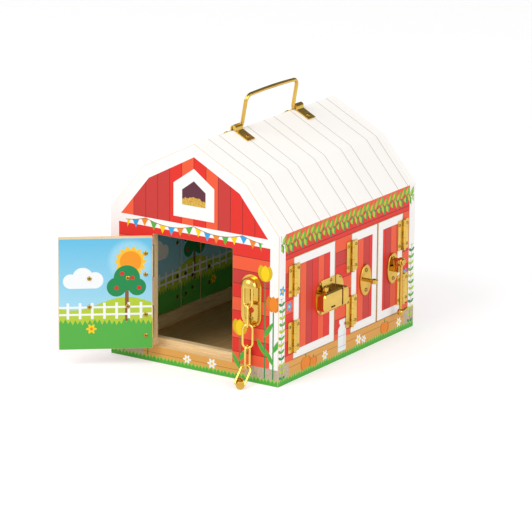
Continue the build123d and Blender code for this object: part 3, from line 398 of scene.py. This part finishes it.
def oval(u, v, cu, cv, half_u, half_v):
    """A disc in coordinates scaled to the oval's half sizes, scaled back by the smaller one."""
    return disc((u - cu) / half_u, (v - cv) / half_v, 0.0, 0.0, 1.0) * min(half_u, half_v)


def flower(u, v, cu, cv, radius, petals, depth):
    """A disc whose radius rises and falls with the cosine of the angle times the petal count."""
    turn = (v - cv).math("ARCTAN2", u - cu) * float(petals)
    return away(u, v, cu, cv) - (turn.math("COSINE") * (radius * depth) + radius)


def leaf(u, v, cu, cv, size, slimness, angle):
    """Where two equal discs overlap: a pointed oval along a direction."""
    turn = math.radians(angle)
    along = (u - cu) * math.cos(turn) + (v - cv) * math.sin(turn)
    side = (v - cv) * math.cos(turn) - (u - cu) * math.sin(turn)
    radius = (size * size + slimness * slimness) / (2 * slimness)
    return disc(along, abs(side), 0.0, slimness - radius, radius)


def below(u, v, points):
    """Below a line of corner points whose slope falls from each to the next: the largest of the sides."""
    worst = None
    for (u0, v0), (u1, v1) in zip(points, points[1:]):
        run = math.hypot(u1 - u0, v1 - v0)
        side = (v - v0) * ((u1 - u0) / run) - (u - u0) * ((v1 - v0) / run)
        worst = side if worst is None else worst.high(side)
    return worst


def house(wide, z, roof, foot):
    """A house by the distance from its middle: under a roof line, inside its side and above its foot."""
    return below(wide, z, roof).high(wide - roof[-1][0]).high(foot - z)


def faded(tint, share):
    """A colour at a share of its strength."""
    return tuple(c * share for c in tint)


def boards(p, paints, across, pitch, origin, seam, seed):
    """Painted boards: each cell of the pitch takes one of three reds, with a seam line between."""
    shifted = across - origin
    shade = p.random((shifted / pitch).floor() + seed)
    stops = [(0.0, paints.red_deep), (0.3, paints.red), (0.62, paints.red_pale)]
    base = p.ramp(shade, stops, steps=True)
    line = (abs(shifted.wrap(pitch)) - seam / 2).inside()
    return p.over(base, paints.seam, line * 0.85)


def bare_wood(p, paints, along, across, depth):
    """Plywood: noise stretched along the grain, with fine darker pores."""
    stretched = p.point(along * 0.02, across * 0.35, depth * 0.35)
    rings = p.noise(stretched, 2.2, 4.0, 0.6)
    pores = p.noise(p.point(along * 0.06, across * 2.2, depth * 2.2), 1.6, 2.0, 0.7)
    grain = (rings * 1.5 - 0.3).math("ADD", pores * 0.35 - 0.2, clamp=True)
    return p.ramp(grain, [(0.15, paints.raw_dark), (0.75, paints.raw)])


def grass_strip(p, paints, base, along, z, top):
    """Grass: a band under a zigzag line whose teeth wander with noise, with pale tips."""
    wander = p.noise(p.point(along, 0.0), 0.09, 1.0) * 5.0 - 2.5
    teeth = abs((along + wander).wrap(4.6)) * 1.5
    edge = z - top - 2.4 + teeth - wander * 0.5
    base = p.over(base, paints.grass_pale, edge.inside())
    return p.over(base, paints.grass, (edge + 1.5).inside(1.4))


def stone_patch(p, paints, base, along, z, reach, top):
    """Stone at a corner: a block with a ragged edge, mottled by two noises."""
    ragged = p.noise(p.point(along, z), 0.35, 2.0) * 5.0 - 2.5
    mottle = p.noise(p.point(along, z), 0.5, 4.0, 0.7)
    pale = tuple(min(1.0, c * 1.35) for c in paints.stone)
    tint = p.ramp(mottle, [(0.3, faded(paints.stone, 0.6)), (0.42, paints.stone), (0.66, pale)])
    mask = (along - reach + ragged).high(z - top + ragged * 0.4).inside()
    return p.over(base, tint, mask)


def leaf_pairs(p, paints, base, run, off, pitch, size, envelope):
    """Pairs of pointed leaves in cells along a stem, each cell in one of three greens."""
    cell = run.wrap(pitch)
    greens = [(0.0, paints.leaf_dark), (0.28, paints.leaf), (0.62, paints.leaf_pale)]
    tint = p.ramp(p.random((run / pitch + 0.5).floor()), greens, steps=True)
    upper, lower = (
        leaf(cell, off, pitch * 0.14, side * size * 0.8, size, size * 0.46, side * 62) for side in (1, -1)
    )
    blades = upper.low(lower)
    base = p.over(base, tint, blades.high(envelope).inside())
    stem = (abs(off) - 0.32).high(envelope)
    return p.over(base, paints.vine, stem.inside())


def garland(p, paints, base, along, z):
    """A waving stem under the eave, with leaves up and down by turns and berries between them."""
    inside = abs(along - LENGTH / 2) - LENGTH / 2 + 4.0
    height = EAVE - GARLAND_DROP
    wave = (along * (math.tau / GARLAND_WAVE)).sine() * 1.6
    off = z - height - wave
    stem = (abs(off) - 0.5).high(inside)
    base = p.over(base, paints.vine, stem.inside())
    for shift, side, size, tint in (
        (0.0, 1.0, 6.4, paints.leaf),
        (4.6, -1.0, 6.8, paints.leaf_dark),
        (6.9, 1.0, 4.6, paints.leaf_pale),
        (2.3, -1.0, 5.4, paints.leaf_pale),
    ):
        cell = (along - shift).wrap(9.17)
        blade = leaf(cell, off, size * 0.42, side * size * 0.78, size, size * 0.42, side * 58)
        blade = blade.high(inside)
        base = p.over(base, tint, blade.inside())
        rim = (abs(blade + size * 0.2) - 0.2).high(blade)
        base = p.over(base, paints.leaf_dark, rim.inside() * 0.35)
    berry = disc((along - 3.2).wrap(GARLAND_WAVE), off, 0.0, -1.0, 2.1)
    return p.over(base, paints.apple, berry.high(inside).inside())


def tulip(p, paints, base, u, v, cu, foot, top, tint, shade):
    """A tulip: a stem line, two pointed leaves and a cup of three pointed petals."""
    stem = (abs(u - cu) - 0.8).high(v - top).high(foot - v)
    base = p.over(base, paints.leaf_dark, stem.inside())
    for side, rise in ((-1, 0.32), (1, 0.5)):
        middle = foot + (top - foot) * rise
        blade = leaf(u, v, cu + side * 4.6, middle, 11.0, 2.6, 90 - side * 32)
        base = p.over(base, paints.leaf, blade.inside())
        base = p.over(base, paints.leaf_dark, (abs(blade + 1.9) - 0.25).inside() * 0.5)
    for offset, lean, petal_tint in ((-4.0, 102, shade), (4.0, 78, shade), (0.0, 90, tint)):
        petal = leaf(u, v, cu + offset, top + 6.0, 9.0, 5.0, lean)
        base = p.over(base, petal_tint, petal.inside())
    return base


def daisy(p, base, u, v, cu, cv, radius, petals, tint, heart):
    """A small flower: a petalled disc with a round heart."""
    base = p.over(base, tint, flower(u, v, cu, cv, radius, petals, 0.28).inside())
    return p.over(base, heart, disc(u, v, cu, cv, radius * 0.38).inside())


def pumpkin(p, paints, base, u, v, cu, cv, half):
    """A pumpkin: three overlapping ovals and a stalk."""
    dark = faded(paints.orange, 0.72)
    stalk = rectangle(u, v, cu - 1.0, cu + 1.0, cv + half * 0.6, cv + half * 1.25)
    base = p.over(base, paints.leaf_dark, stalk.inside())
    for offset, tint in ((-0.55, dark), (0.55, dark), (-0.28, paints.orange), (0.28, paints.orange)):
        lobe = oval(u, v, cu + offset * half, cv, half * 0.62, half * 0.82)
        base = p.over(base, tint, lobe.inside())
        base = p.over(base, dark, (abs(lobe) - 0.2).inside() * 0.8)
    return base


def churn(p, paints, base, u, v, cu, foot):
    """A milk churn: body, shoulder and lid with grey hoops."""
    grey = (0.55, 0.6, 0.63)
    body = rectangle(u, v, cu - 6.5, cu + 6.5, foot, foot + 22) - 1.2
    neck = rectangle(u, v, cu - 3.4, cu + 3.4, foot + 20, foot + 31) - 0.6
    shoulder = oval(u, v, cu, foot + 22.5, 7.7, 5.5)
    lid = rectangle(u, v, cu - 5.0, cu + 5.0, foot + 31, foot + 33.5) - 0.6
    shape = body.low(neck).low(shoulder).low(lid)
    base = p.over(base, grey, (shape - 0.5).inside())
    base = p.over(base, paints.cloud, shape.inside())
    hoops = (abs((v - foot - 4.0).wrap(12.0)) - 0.5).high(body).inside()
    shade = rectangle(u, v, cu + 3.0, cu + 6.0, foot + 1.5, foot + 21).high(shape)
    base = p.over(base, grey, shade.inside(1.5) * 0.35)
    return p.over(base, grey, hoops * 0.8)


def bunting(p, paints, base, u, v, height):
    """Little flags: triangles in a repeating cell that hang from a line of three swags."""
    sag = abs(u.wrap(62.0, 31.0) - 31.0)
    string = v - height - sag * sag * 0.0055
    pitch = 11.5
    cell = (u / pitch).floor()
    local = u.wrap(pitch, pitch / 2) - pitch / 2
    flag = (abs(local) * 2.0 - string - 9.0).high(string).high(abs(u) - 86.0)
    picks = [(0.0, paints.yellow), (0.25, paints.blue), (0.5, paints.orange), (0.75, paints.leaf)]
    tint = p.ramp((cell * 0.25 + 0.125).wrap(1.0, 0.5), picks, steps=True)
    base = p.over(base, tint, (flag * 0.45).inside())
    return p.over(base, paints.vine, (abs(string) - 0.35).high(abs(u) - 88.0).inside())


def gable_print(p, paints, sizes, x, z, doorway):
    """The gable: white trim round red boards, with a loft window; below it siding, footing and grass."""
    wide = abs(x)
    field = below(wide, z, GABLE_FIELD).high(GABLE_FIELD[-1][1] - z)
    upright = boards(p, paints, x, sizes.gable_board, 0.0, sizes.seam, 31.0)
    base = p.over(paints.white, upright, field.inside())
    base = p.over(base, paints.white, house(wide, z, LOFT_TRIM, LOFT_TRIM_FOOT).inside())
    window = house(wide, z, LOFT_WINDOW, LOFT_SILL)
    heap = z - STRAW_TOP - p.noise(p.point(x, 0.0), 0.22, 3.0) * 9.0 + wide * 0.25
    strands = p.noise(p.point(x * 0.5 + z * 0.4, z * 0.25 - x * 0.1), 1.4, 2.0)
    straw = p.ramp(strands, [(0.35, faded(paints.straw, 0.62)), (0.6, paints.straw)])
    inner = p.over(paints.loft, straw, heap.inside())
    base = p.over(base, inner, window.inside())
    siding = boards(p, paints, z, sizes.siding_board, SIDING_SEAM, sizes.seam, 7.0)
    low_field = (wide - (HALF_WIDTH - sizes.trim)).high(z - SIDING_TOP)
    base = p.over(base, siding, low_field.inside())
    base = p.over(base, paints.red, low_field.high(LINTEL_FOOT - z).inside())
    footing = (z - GABLE_FOOTING).high(wide - (STONE_START if doorway else HALF_WIDTH))
    seams = (abs((z - 2.2).wrap(8.1)) - 0.3).inside()
    ochre = p.over(paints.ochre, paints.ochre_line, seams)
    base = p.over(base, ochre, footing.inside())
    base = stone_patch(p, paints, base, STONE_START - wide, z, 0.0, 18.6)
    base = bunting(p, paints, base, x, z, BUNTING_HEIGHT)
    for at, top, petals, share in TULIPS:
        tint = getattr(paints, petals)
        base = tulip(p, paints, base, wide, z, at, TULIP_FOOT, top, tint, faded(tint, share))
    for at, height, radius in GABLE_DAISIES:
        base = daisy(p, base, x, z, at, height, radius, 6, paints.cloud, paints.yellow)
    return grass_strip(p, paints, base, x, z, 5.6)


def side_print(p, paints, sizes, along, z):
    """A long wall: siding, white corners, a garland under the eave, footing, flowers and grass."""
    siding = boards(p, paints, z, sizes.siding_board, SIDING_SEAM, sizes.seam, 7.0)
    rail = (abs(z - RAIL_HEIGHT) - 0.45).inside()
    base = p.over(siding, paints.seam, rail)
    near_end = LENGTH / 2 - abs(along - LENGTH / 2)
    base = p.over(base, paints.white, (near_end - sizes.trim - 1.5).inside())
    seams = (abs((z - 16.4).wrap(30.0)) - 0.3).inside()
    ochre = p.over(paints.ochre, paints.ochre_line, seams)
    base = p.over(base, ochre, (z - SIDE_FOOTING).inside())
    base = stone_patch(p, paints, base, near_end, z, STONE_REACH, 23.0)
    base = garland(p, paints, base, along, z)
    climb = (z - CLIMB_TOP).high(near_end - 13.0)
    base = leaf_pairs(p, paints, base, z, near_end - 6.8 - (z * 0.11).sine(), 7.4, 3.6, climb)
    base = churn(p, paints, base, along, z, *CHURN)
    for at, height, half in PUMPKINS:
        base = pumpkin(p, paints, base, along, z, at, height, half)
    for at, height, radius in SIDE_DAISIES:
        base = daisy(p, base, along, z, at, height, radius, 6, paints.cloud, paints.yellow)
    for at, height in BLUE_FLOWERS:
        base = daisy(p, base, along, z, at, height, BLUE_RADIUS, 5, paints.blue, paints.yellow)
    return grass_strip(p, paints, base, along, z, 6.2)


def landscape(p, paints, along, z, sun_at):
    """A meadow: sky that pales downwards, sun, clouds, rolling hills, fruit trees, fence and grass."""
    fade = ((z - 60.0) / 90.0).math("MAXIMUM", 0.0, clamp=True)
    base = p.over(paints.sky_pale, paints.sky, fade)
    halo = disc(along, z, sun_at, SUN_HEIGHT, 23.0)
    base = p.over(base, paints.sky_pale, halo.inside(6.0) * 0.7)
    rays = flower(along, z, sun_at, SUN_HEIGHT, 15.5, 14, 0.1)
    base = p.over(base, paints.sun_pale, rays.inside())
    base = p.over(base, paints.sun, disc(along, z, sun_at, SUN_HEIGHT, 11.5).inside())
    span = along.wrap(MEADOW_PITCH, MEADOW_PITCH / 2)
    puff = cluster(span, z, CLOUD).low(rectangle(span, z, 60.0, 90.0, 87.0, 94.0))
    base = p.over(base, paints.cloud, puff.inside())
    far = z - 70.0 - (along * 0.055).sine() * 7.0
    base = p.over(base, paints.hill, far.inside())
    trunk = rectangle(span, z, 26.0, 30.0, 50.0, 86.0)
    base = p.over(base, paints.vine, trunk.inside())
    base = p.over(base, paints.leaf_dark, cluster(span, z, CROWN).inside())
    base = p.over(base, paints.apple, cluster(span, z, FRUIT).inside())
    posts = (abs(span.wrap(FENCE_PITCH)) - 1.4).high(abs(z - FENCE_HEIGHT) - 9.0)
    rails = abs(abs(z - FENCE_HEIGHT) - 4.0) - 1.1
    base = p.over(base, paints.cloud, posts.low(rails).inside())
    wander = p.noise(p.point(along, 0.0), 0.06, 1.0) * 12.0
    near = z - 46.0 - wander + abs(along.wrap(5.2)) * 1.9
    base = p.over(base, paints.hill_near, near.inside())
    return daisy(p, base, span, z, 66.0, 42.0, 4.5, 6, paints.yellow, paints.orange)


def door_print(p, paints, sizes, along, z, near, far, low, high):
    """A plank door: a white frame round upright red boards."""
    trim = sizes.door_trim
    field = rectangle(along, z, near + trim, far - trim, low + trim, high - trim)
    upright = boards(p, paints, along, sizes.door_board, near + trim + 3.0, sizes.seam, 3.0)
    edge = (abs(field) - 0.2).inside()
    base = p.over(paints.white, upright, field.inside())
    return p.over(base, paints.seam, edge * 0.45)


def painted_finish(p, base, groove=None):
    """Satin print on wood: slight mottling of the gloss and a faint orange-peel bump."""
    grain = p.noise(p.place, 0.35, 3.0, 0.6)
    roughness = grain * 0.16 + 0.38
    height = p.noise(p.place, 1.1, 2.0, 0.5) * 0.05
    if groove is not None:
        height = height - groove * 0.5
    return p.finish(base, roughness, normal=p.bump(height, 0.0006, 0.35), shine=0.3)


def dress(names, material):
    """Gives CAD nodes a material."""
    for name in names:
        mesh = frame["nodes"][name].data
        mesh.materials.clear()
        mesh.materials.append(material)


class TOYBARN_OT_gables(bpy.types.Operator):
    """Prints the two gable walls and leaves their cut edges bare"""

    bl_idname = "toybarn.gables"
    bl_label = "Print gables"

    def execute(self, context):
        paints = context.scene.barn_paint
        sizes = context.scene.barn_boards
        for node, face, outward in (("front_wall", FRONT, -1.0), ("rear_wall", BACK, 1.0)):
            p = Paint(f"print_{node}")
            depth = (p.y - face) * outward
            outer = (-depth - SKIN).inside(FACE_EDGE)
            inner = (depth + WALL - SKIN).inside(FACE_EDGE)
            picture = gable_print(p, paints, sizes, p.x, p.z, outward < 0)
            rim = side_print(p, paints, sizes, p.y - FRONT, p.z)
            raw = bare_wood(p, paints, p.x, p.z, p.y)
            on_side = (HALF_WIDTH - SKIN - abs(p.x)).inside(FACE_EDGE)
            on_roof = (EAVE - 0.5 - p.z).inside(FACE_EDGE)
            base = p.over(raw, paints.roof, on_roof)
            base = p.over(base, rim, on_side)
            base = p.over(base, paints.raw_dark, (-depth - OUTER_PLY).inside(FACE_EDGE))
            base = p.over(base, picture, outer)
            meadow = landscape(p, paints, p.x + HALF_WIDTH, p.z, SUN_AT["gable"])
            base = p.over(base, meadow, inner)
            dress([node], painted_finish(p, base))
        return {"FINISHED"}


class TOYBARN_OT_sides(bpy.types.Operator):
    """Prints the two long walls inside and out"""

    bl_idname = "toybarn.sides"
    bl_label = "Print long walls"

    def execute(self, context):
        paints = context.scene.barn_paint
        sizes = context.scene.barn_boards
        for side in ("right", "left"):
            p = Paint(f"print_{side}_wall")
            along = p.y - FRONT
            out = abs(p.x) - HALF_WIDTH
            outer = (-out - SKIN).inside(FACE_EDGE)
            inner = (out + WALL - SKIN).high(MEADOW_FOOT - p.z).inside(FACE_EDGE)
            base = bare_wood(p, paints, along, p.z, p.x)
            # Painted shade: a dark line along the foot of the inner walls, where they meet the floor.
            foot = (abs(p.z - FLOOR_TOP - FLOOR_SHADE_LINE / 2) - FLOOR_SHADE_LINE / 2).inside()
            base = p.multiply(base, paints.raw_dark, foot)
            base = p.over(base, side_print(p, paints, sizes, along, p.z), outer)
            base = p.over(base, landscape(p, paints, along, p.z, SUN_AT[side]), inner)
            dress([f"{side}_wall"], painted_finish(p, base))
        return {"FINISHED"}


class TOYBARN_OT_roof(bpy.types.Operator):
    """Paints the roof boards white, with grooves down the slopes"""

    bl_idname = "toybarn.roof"
    bl_label = "Paint roof"

    def execute(self, context):
        paints = context.scene.barn_paint
        sizes = context.scene.barn_boards
        p = Paint("roof_paint")
        facing = p.node("ShaderNodeTexCoord", output="Normal")
        rise = p.node("ShaderNodeSeparateXYZ", {}, {0: facing}, "Z")
        outer = (0.05 - rise).inside(FACE_EDGE)
        along = p.y - FRONT
        first = abs((along - ROOF_START).wrap(sizes.roof_period))
        second = abs((along - ROOF_START - sizes.roof_step).wrap(sizes.roof_period))
        line = (first.low(second) - ROOF_GROOVE / 2).inside(0.35)
        warm = p.noise(p.place, 0.012, 2.0)
        shade = p.ramp(warm, [(0.3, faded(paints.roof, 0.97)), (0.7, paints.roof)])
        top = p.over(shade, paints.groove, line * 0.85)
        base = p.over(bare_wood(p, paints, along, p.x, p.z), top, outer)
        nodes = ["lower_roof_right", "upper_roof_right", "lower_roof_left", "upper_roof_left"]
        dress(nodes, painted_finish(p, base, line))
        return {"FINISHED"}


class TOYBARN_OT_floor(bpy.types.Operator):
    """Leaves the floor board in bare plywood, with painted shade darkening its top face inside the barn"""

    bl_idname = "toybarn.floor"
    bl_label = "Floor board"

    def execute(self, context):
        paints = context.scene.barn_paint
        p = Paint("bare_plywood")
        board = bare_wood(p, paints, p.y, p.x, p.z)
        strip = bare_wood(p, paints, p.x, p.y, p.z)
        # Painted shade: the top face inside the barn is darkened; the cut edges below it stay bare.
        painted_floor_shade = p.multiply(board, paints.painted_floor_shade, 1.0)
        base = p.over(painted_floor_shade, strip, (FLOOR_TOP - p.z).inside(0.05))
        height = p.noise(p.point(p.y * 0.05, p.x * 0.9, p.z), 1.2, 3.0)
        dress(["floor_panel"], p.finish(base, height * 0.2 + 0.5, normal=p.bump(height, 0.0002, 0.4)))
        return {"FINISHED"}


class TOYBARN_OT_doors(bpy.types.Operator):
    """Prints each door: planks in a white frame outside, a meadow inside"""

    bl_idname = "toybarn.doors"
    bl_label = "Print doors"

    def execute(self, context):
        paints = context.scene.barn_paint
        sizes = context.scene.barn_boards
        for door in DOORS:
            p = Paint(f"print_{door}")
            joint = JOINTS[f"{door}_hinge"]
            pin = [c * 1000 for c in joint["pos_m"]]
            low, high = millimetres(f"{door}_panel")
            if door == "front_door":
                turn = math.radians(-joint["range_deg"][0])
                du = p.x - pin[0]
                dv = p.y - pin[1]
                along = du * math.cos(turn) - dv * math.sin(turn)
                out = -(du * math.sin(turn)) - dv * math.cos(turn)
                far = (low.x - pin[0] - STANDOFF * math.sin(turn)) / math.cos(turn)
                scenery = along
            else:
                along = abs(p.y - pin[1])
                out = abs(p.x) - abs(pin[0])
                far = max(abs(low.y - pin[1]), abs(high.y - pin[1]))
                scenery = p.y - FRONT
            outer = (-STANDOFF - SKIN - out).inside(FACE_EDGE)
            inner = (out + STANDOFF + WALL - SKIN).inside(FACE_EDGE)
            planks = door_print(p, paints, sizes, along, p.z, 0.5, far, low.z, high.z)
            base = bare_wood(p, paints, p.z, along, out)
            base = p.over(base, planks, outer)
            meadow = landscape(p, paints, scenery, p.z, SUN_AT[door.split("_")[0]])
            base = p.over(base, meadow, inner)
            dress([f"{door}_panel"], painted_finish(p, base))
        return {"FINISHED"}


def brass(name, tint, roughness, scale, wave):
    """Polished brass: gloss and tint drift with a slow noise and the surface waves faintly."""
    p = Paint(name)
    slow = p.noise(p.place, scale, 2.0)
    fine = p.noise(p.place, scale * 9.0, 2.0, 0.7)
    base = p.ramp(slow, [(0.25, faded(tint, 0.8)), (0.65, tuple(tint))])
    gloss = slow * 0.12 + fine * 0.08 + (roughness - 0.1)
    normal = p.bump(slow * 0.7 + fine * 0.1, wave, 0.5)
    return p.finish(base, gloss, 1.0, normal)


class TOYBARN_OT_fittings(bpy.types.Operator):
    """Polishes hinges, rivets, screws, latches, hook, bolt and hasp"""

    bl_idname = "toybarn.fittings"
    bl_label = "Polish fittings"

    def execute(self, context):
        finish = context.scene.barn_brass
        pressed = brass("pressed_brass", finish.sheet, finish.roughness, 0.06, 0.0006)
        cast = brass("cast_brass", finish.cast, finish.roughness * 0.85, 0.12, 0.0005)
        # Painted shade: rivets, screws and pins take a darker copy of the pressed brass, standing in for
        # the shade round their small heads.
        shaded_small = brass("small_brass", faded(finish.sheet, 0.62), finish.roughness * 1.1, 0.3, 0.0003)
        sheets = [n for n in frame["nodes"] if n.endswith("_leaves")]
        sheets += ["latch_case", "latch_keeper", "bolt_guide", "bolt_keeper", "hasp_base", "hasp_strap"]
        sheets += ["staple_plate", "handle_straps", "chain_plate", "chain_track"]
        dress(sheets, pressed)
        dress(["hook_eye", "hook_pivot_plate", "cabin_hook", "latch_bolt", "latch_knob"], cast)
        dress(["barrel_bolt", "turning_staple", "chain_knob", "chain_stud"], cast)
        small_nodes = [n for n in frame["nodes"] if n.endswith(("_rivets", "_screws"))]
        dress(small_nodes + ["hinge_pins", "hasp_pin"], shaded_small)
        return {"FINISHED"}


class TOYBARN_OT_chain(bpy.types.Operator):
    """Polishes the chain links"""

    bl_idname = "toybarn.chain"
    bl_label = "Polish chain"

    def execute(self, context):
        finish = context.scene.barn_brass
        metal = brass("chain_brass", finish.chain, finish.roughness * 0.8, 0.1, 0.0004)
        dress([n for n in frame["nodes"] if n.startswith("chain_link")], metal)
        return {"FINISHED"}


class TOYBARN_OT_handle(bpy.types.Operator):
    """Polishes the carrying handle"""

    bl_idname = "toybarn.handle"
    bl_label = "Polish handle"

    def execute(self, context):
        finish = context.scene.barn_brass
        dress(["handle"], brass("handle_brass", finish.wire, finish.roughness * 0.9, 0.05, 0.0003))
        return {"FINISHED"}


# ---------------------------------------------------------------------------------------------
# Stage
# ---------------------------------------------------------------------------------------------

# The camera: its angles in degrees, its place in metres and its lens in pixels of the square frame.
AZIMUTH = 33.287
ELEVATION = 15.942
ROLL = 0.508
CAMERA_AT = (2.0746, -3.1621, 1.1620)
FRAME = 532.0
FOCAL_PIXELS = 3598.37
CENTRE_PIXEL = (263.60, 267.57)
SENSOR = 36.0
VIEW_END = 100.0

# The lamps and sheets, in metres.
LAMP_AIM = (0.0, 0.0, 0.12)
LAMP_SIZE = 1.6
KEY_PLACE = (-0.6, -2.2, 2.3)
FILL_PLACE = (2.6, -0.6, 1.3)
FLOOR_SIDE = 18.0
SHEET_CELLS = 12
CLOTHS = (
    ("dark_cloth_back", (-3.0, 3.0, 0.5), (6.0, 0.0, 0.0), (0.0, 0.0, 2.3)),
    ("dark_cloth_top", (-3.0, -0.5, 2.8), (6.0, 0.0, 0.0), (0.0, 3.5, 0.0)),
)
CLOTH_DARK = (0.22, 0.215, 0.2)
CLOTH_PALE = (0.32, 0.31, 0.29)


def placement(place, back, roll=0.0):
    """Axes by the back one: right is level, up is square to both, and roll turns these two."""
    back = np.array(back) / np.linalg.norm(back)
    right = np.cross([0.0, 0.0, 1.0], back)
    right = right / np.linalg.norm(right)
    up = np.cross(back, right)
    axes = np.eye(4)
    axes[:3, 0] = math.cos(roll) * right + math.sin(roll) * up
    axes[:3, 1] = -math.sin(roll) * right + math.cos(roll) * up
    axes[:3, 2] = back
    axes[:3, 3] = place
    return Matrix(axes.tolist())


def lamp(context, name, place, power):
    """A square soft lamp that faces the barn."""
    light = bpy.data.lights.new(name, "AREA")
    light.shape = "SQUARE"
    light.size = LAMP_SIZE
    light.energy = power
    holder = bpy.data.objects.new(name, light)
    context.scene.collection.objects.link(holder)
    holder.matrix_world = placement(place, np.array(place) - np.array(LAMP_AIM))


def seen_rays(p):
    """1 for rays that the camera, a reflection or a clear piece sees, 0 for rays that only light."""
    seen = p.node("ShaderNodeLightPath", output="Is Camera Ray")
    for other in ("Is Glossy Ray", "Is Transmission Ray"):
        seen = seen.high(p.node("ShaderNodeLightPath", output=other))
    return seen


def sheet(context, name, corner, along, up):
    """A flat stage sheet: its points are a corner plus shares of two edges, on a square grid."""
    row = SHEET_CELLS + 1
    shares = np.linspace(0.0, 1.0, row)
    u, v = np.meshgrid(shares, shares)
    points = np.array(corner) + u.reshape(-1, 1) * np.array(along) + v.reshape(-1, 1) * np.array(up)
    rows, columns = np.meshgrid(np.arange(SHEET_CELLS), np.arange(SHEET_CELLS))
    first = (rows * row + columns).ravel()
    faces = np.stack([first, first + 1, first + row + 1, first + row], axis=1)
    mesh = bpy.data.meshes.new(name)
    mesh.from_pydata(points.tolist(), [], faces.tolist())
    made = bpy.data.objects.new(name, mesh)
    context.scene.collection.objects.link(made)
    return made


class TOYBARN_OT_stage(bpy.types.Operator):
    """Adds the floor, the light and the camera"""

    bl_idname = "toybarn.stage"
    bl_label = "Set stage"

    def execute(self, context):
        stage = context.scene.barn_stage
        corner = (-FLOOR_SIDE / 2, -FLOOR_SIDE / 2, 0.0)
        floor = sheet(context, "studio_floor", corner, (FLOOR_SIDE, 0.0, 0.0), (0.0, FLOOR_SIDE, 0.0))
        p = Paint("studio_floor")
        glow = p.over((0.0, 0.0, 0.0), (1.0, 1.0, 1.0), seen_rays(p))
        inputs = {"Base Color": tuple(stage.floor), "Roughness": 0.9, "Emission Color": glow}
        inputs["Emission Strength"] = stage.floor_lift
        p.surface(p.node("ShaderNodeBsdfPrincipled", {}, inputs))
        floor.data.materials.append(p.owner)

        p = Paint("dark_cloth")
        weave = p.noise(p.place, 0.02, 3.0)
        cloth = p.finish(p.ramp(weave, [(0.3, CLOTH_DARK), (0.7, CLOTH_PALE)]), 0.95)
        for name, corner, along, up in CLOTHS:
            card = sheet(context, name, corner, along, up)
            card.data.materials.append(cloth)
            card.visible_camera = False
            card.visible_diffuse = False
            card.visible_shadow = False

        context.scene.world = bpy.data.worlds.new("studio")
        p = Paint(context.scene.world)
        level = seen_rays(p) * (1.0 - stage.sky_level) + stage.sky_level
        p.surface(p.node("ShaderNodeBackground", {}, {"Color": (1.0, 1.0, 1.0), "Strength": level}))

        lamp(context, "key_lamp", KEY_PLACE, stage.key_power)
        lamp(context, "fill_lamp", FILL_PLACE, stage.fill_power)

        lens = bpy.data.cameras.new("camera")
        lens.sensor_fit = "HORIZONTAL"
        lens.sensor_width = SENSOR
        lens.lens = FOCAL_PIXELS * SENSOR / FRAME
        lens.shift_x = (FRAME / 2 - CENTRE_PIXEL[0]) / FRAME
        lens.shift_y = (CENTRE_PIXEL[1] - FRAME / 2) / FRAME
        lens.clip_end = VIEW_END
        camera = bpy.data.objects.new("camera", lens)
        context.scene.collection.objects.link(camera)
        azimuth, elevation = math.radians(AZIMUTH), math.radians(ELEVATION)
        flat = math.cos(elevation)
        back = (math.sin(azimuth) * flat, -math.cos(azimuth) * flat, math.sin(elevation))
        camera.matrix_world = placement(CAMERA_AT, back, math.radians(ROLL))
        context.scene.camera = camera
        context.scene.view_settings.view_transform = "Standard"
        return {"FINISHED"}


STEPS = (
    TOYBARN_OT_gables,
    TOYBARN_OT_sides,
    TOYBARN_OT_roof,
    TOYBARN_OT_floor,
    TOYBARN_OT_doors,
    TOYBARN_OT_fittings,
    TOYBARN_OT_chain,
    TOYBARN_OT_handle,
    TOYBARN_OT_stage,
)


class TOYBARN_PT_panel(bpy.types.Panel):
    """Lists the barn's steps and settings"""

    bl_idname = "TOYBARN_PT_panel"
    bl_label = "Toy Barn"
    bl_space_type = "VIEW_3D"
    bl_region_type = "UI"
    bl_category = "Toy Barn"

    def draw(self, context):
        for step in STEPS:
            self.layout.operator(step.bl_idname)
        for name in SETTINGS:
            group = getattr(context.scene, name)
            box = self.layout.box()
            for field in group.__annotations__:
                box.prop(group, field)


SETTINGS = {
    "barn_paint": BarnPaint,
    "barn_boards": BarnBoards,
    "barn_brass": BarnBrass,
    "barn_stage": BarnStage,
}


def register():
    for name, group in SETTINGS.items():
        bpy.utils.register_class(group)
        setattr(bpy.types.Scene, name, bpy.props.PointerProperty(type=group))
    for item in (*STEPS, TOYBARN_PT_panel):
        bpy.utils.register_class(item)


def unregister():
    for item in reversed((*STEPS, TOYBARN_PT_panel)):
        bpy.utils.unregister_class(item)
    for name, group in SETTINGS.items():
        delattr(bpy.types.Scene, name)
        bpy.utils.unregister_class(group)


def main():
    register()
    bpy.ops.toybarn.gables()
    bpy.ops.toybarn.sides()
    bpy.ops.toybarn.roof()
    bpy.ops.toybarn.floor()
    bpy.ops.toybarn.doors()
    bpy.ops.toybarn.fittings()
    bpy.ops.toybarn.chain()
    bpy.ops.toybarn.handle()
    bpy.ops.toybarn.stage()


if __name__ == "__main__":
    main()
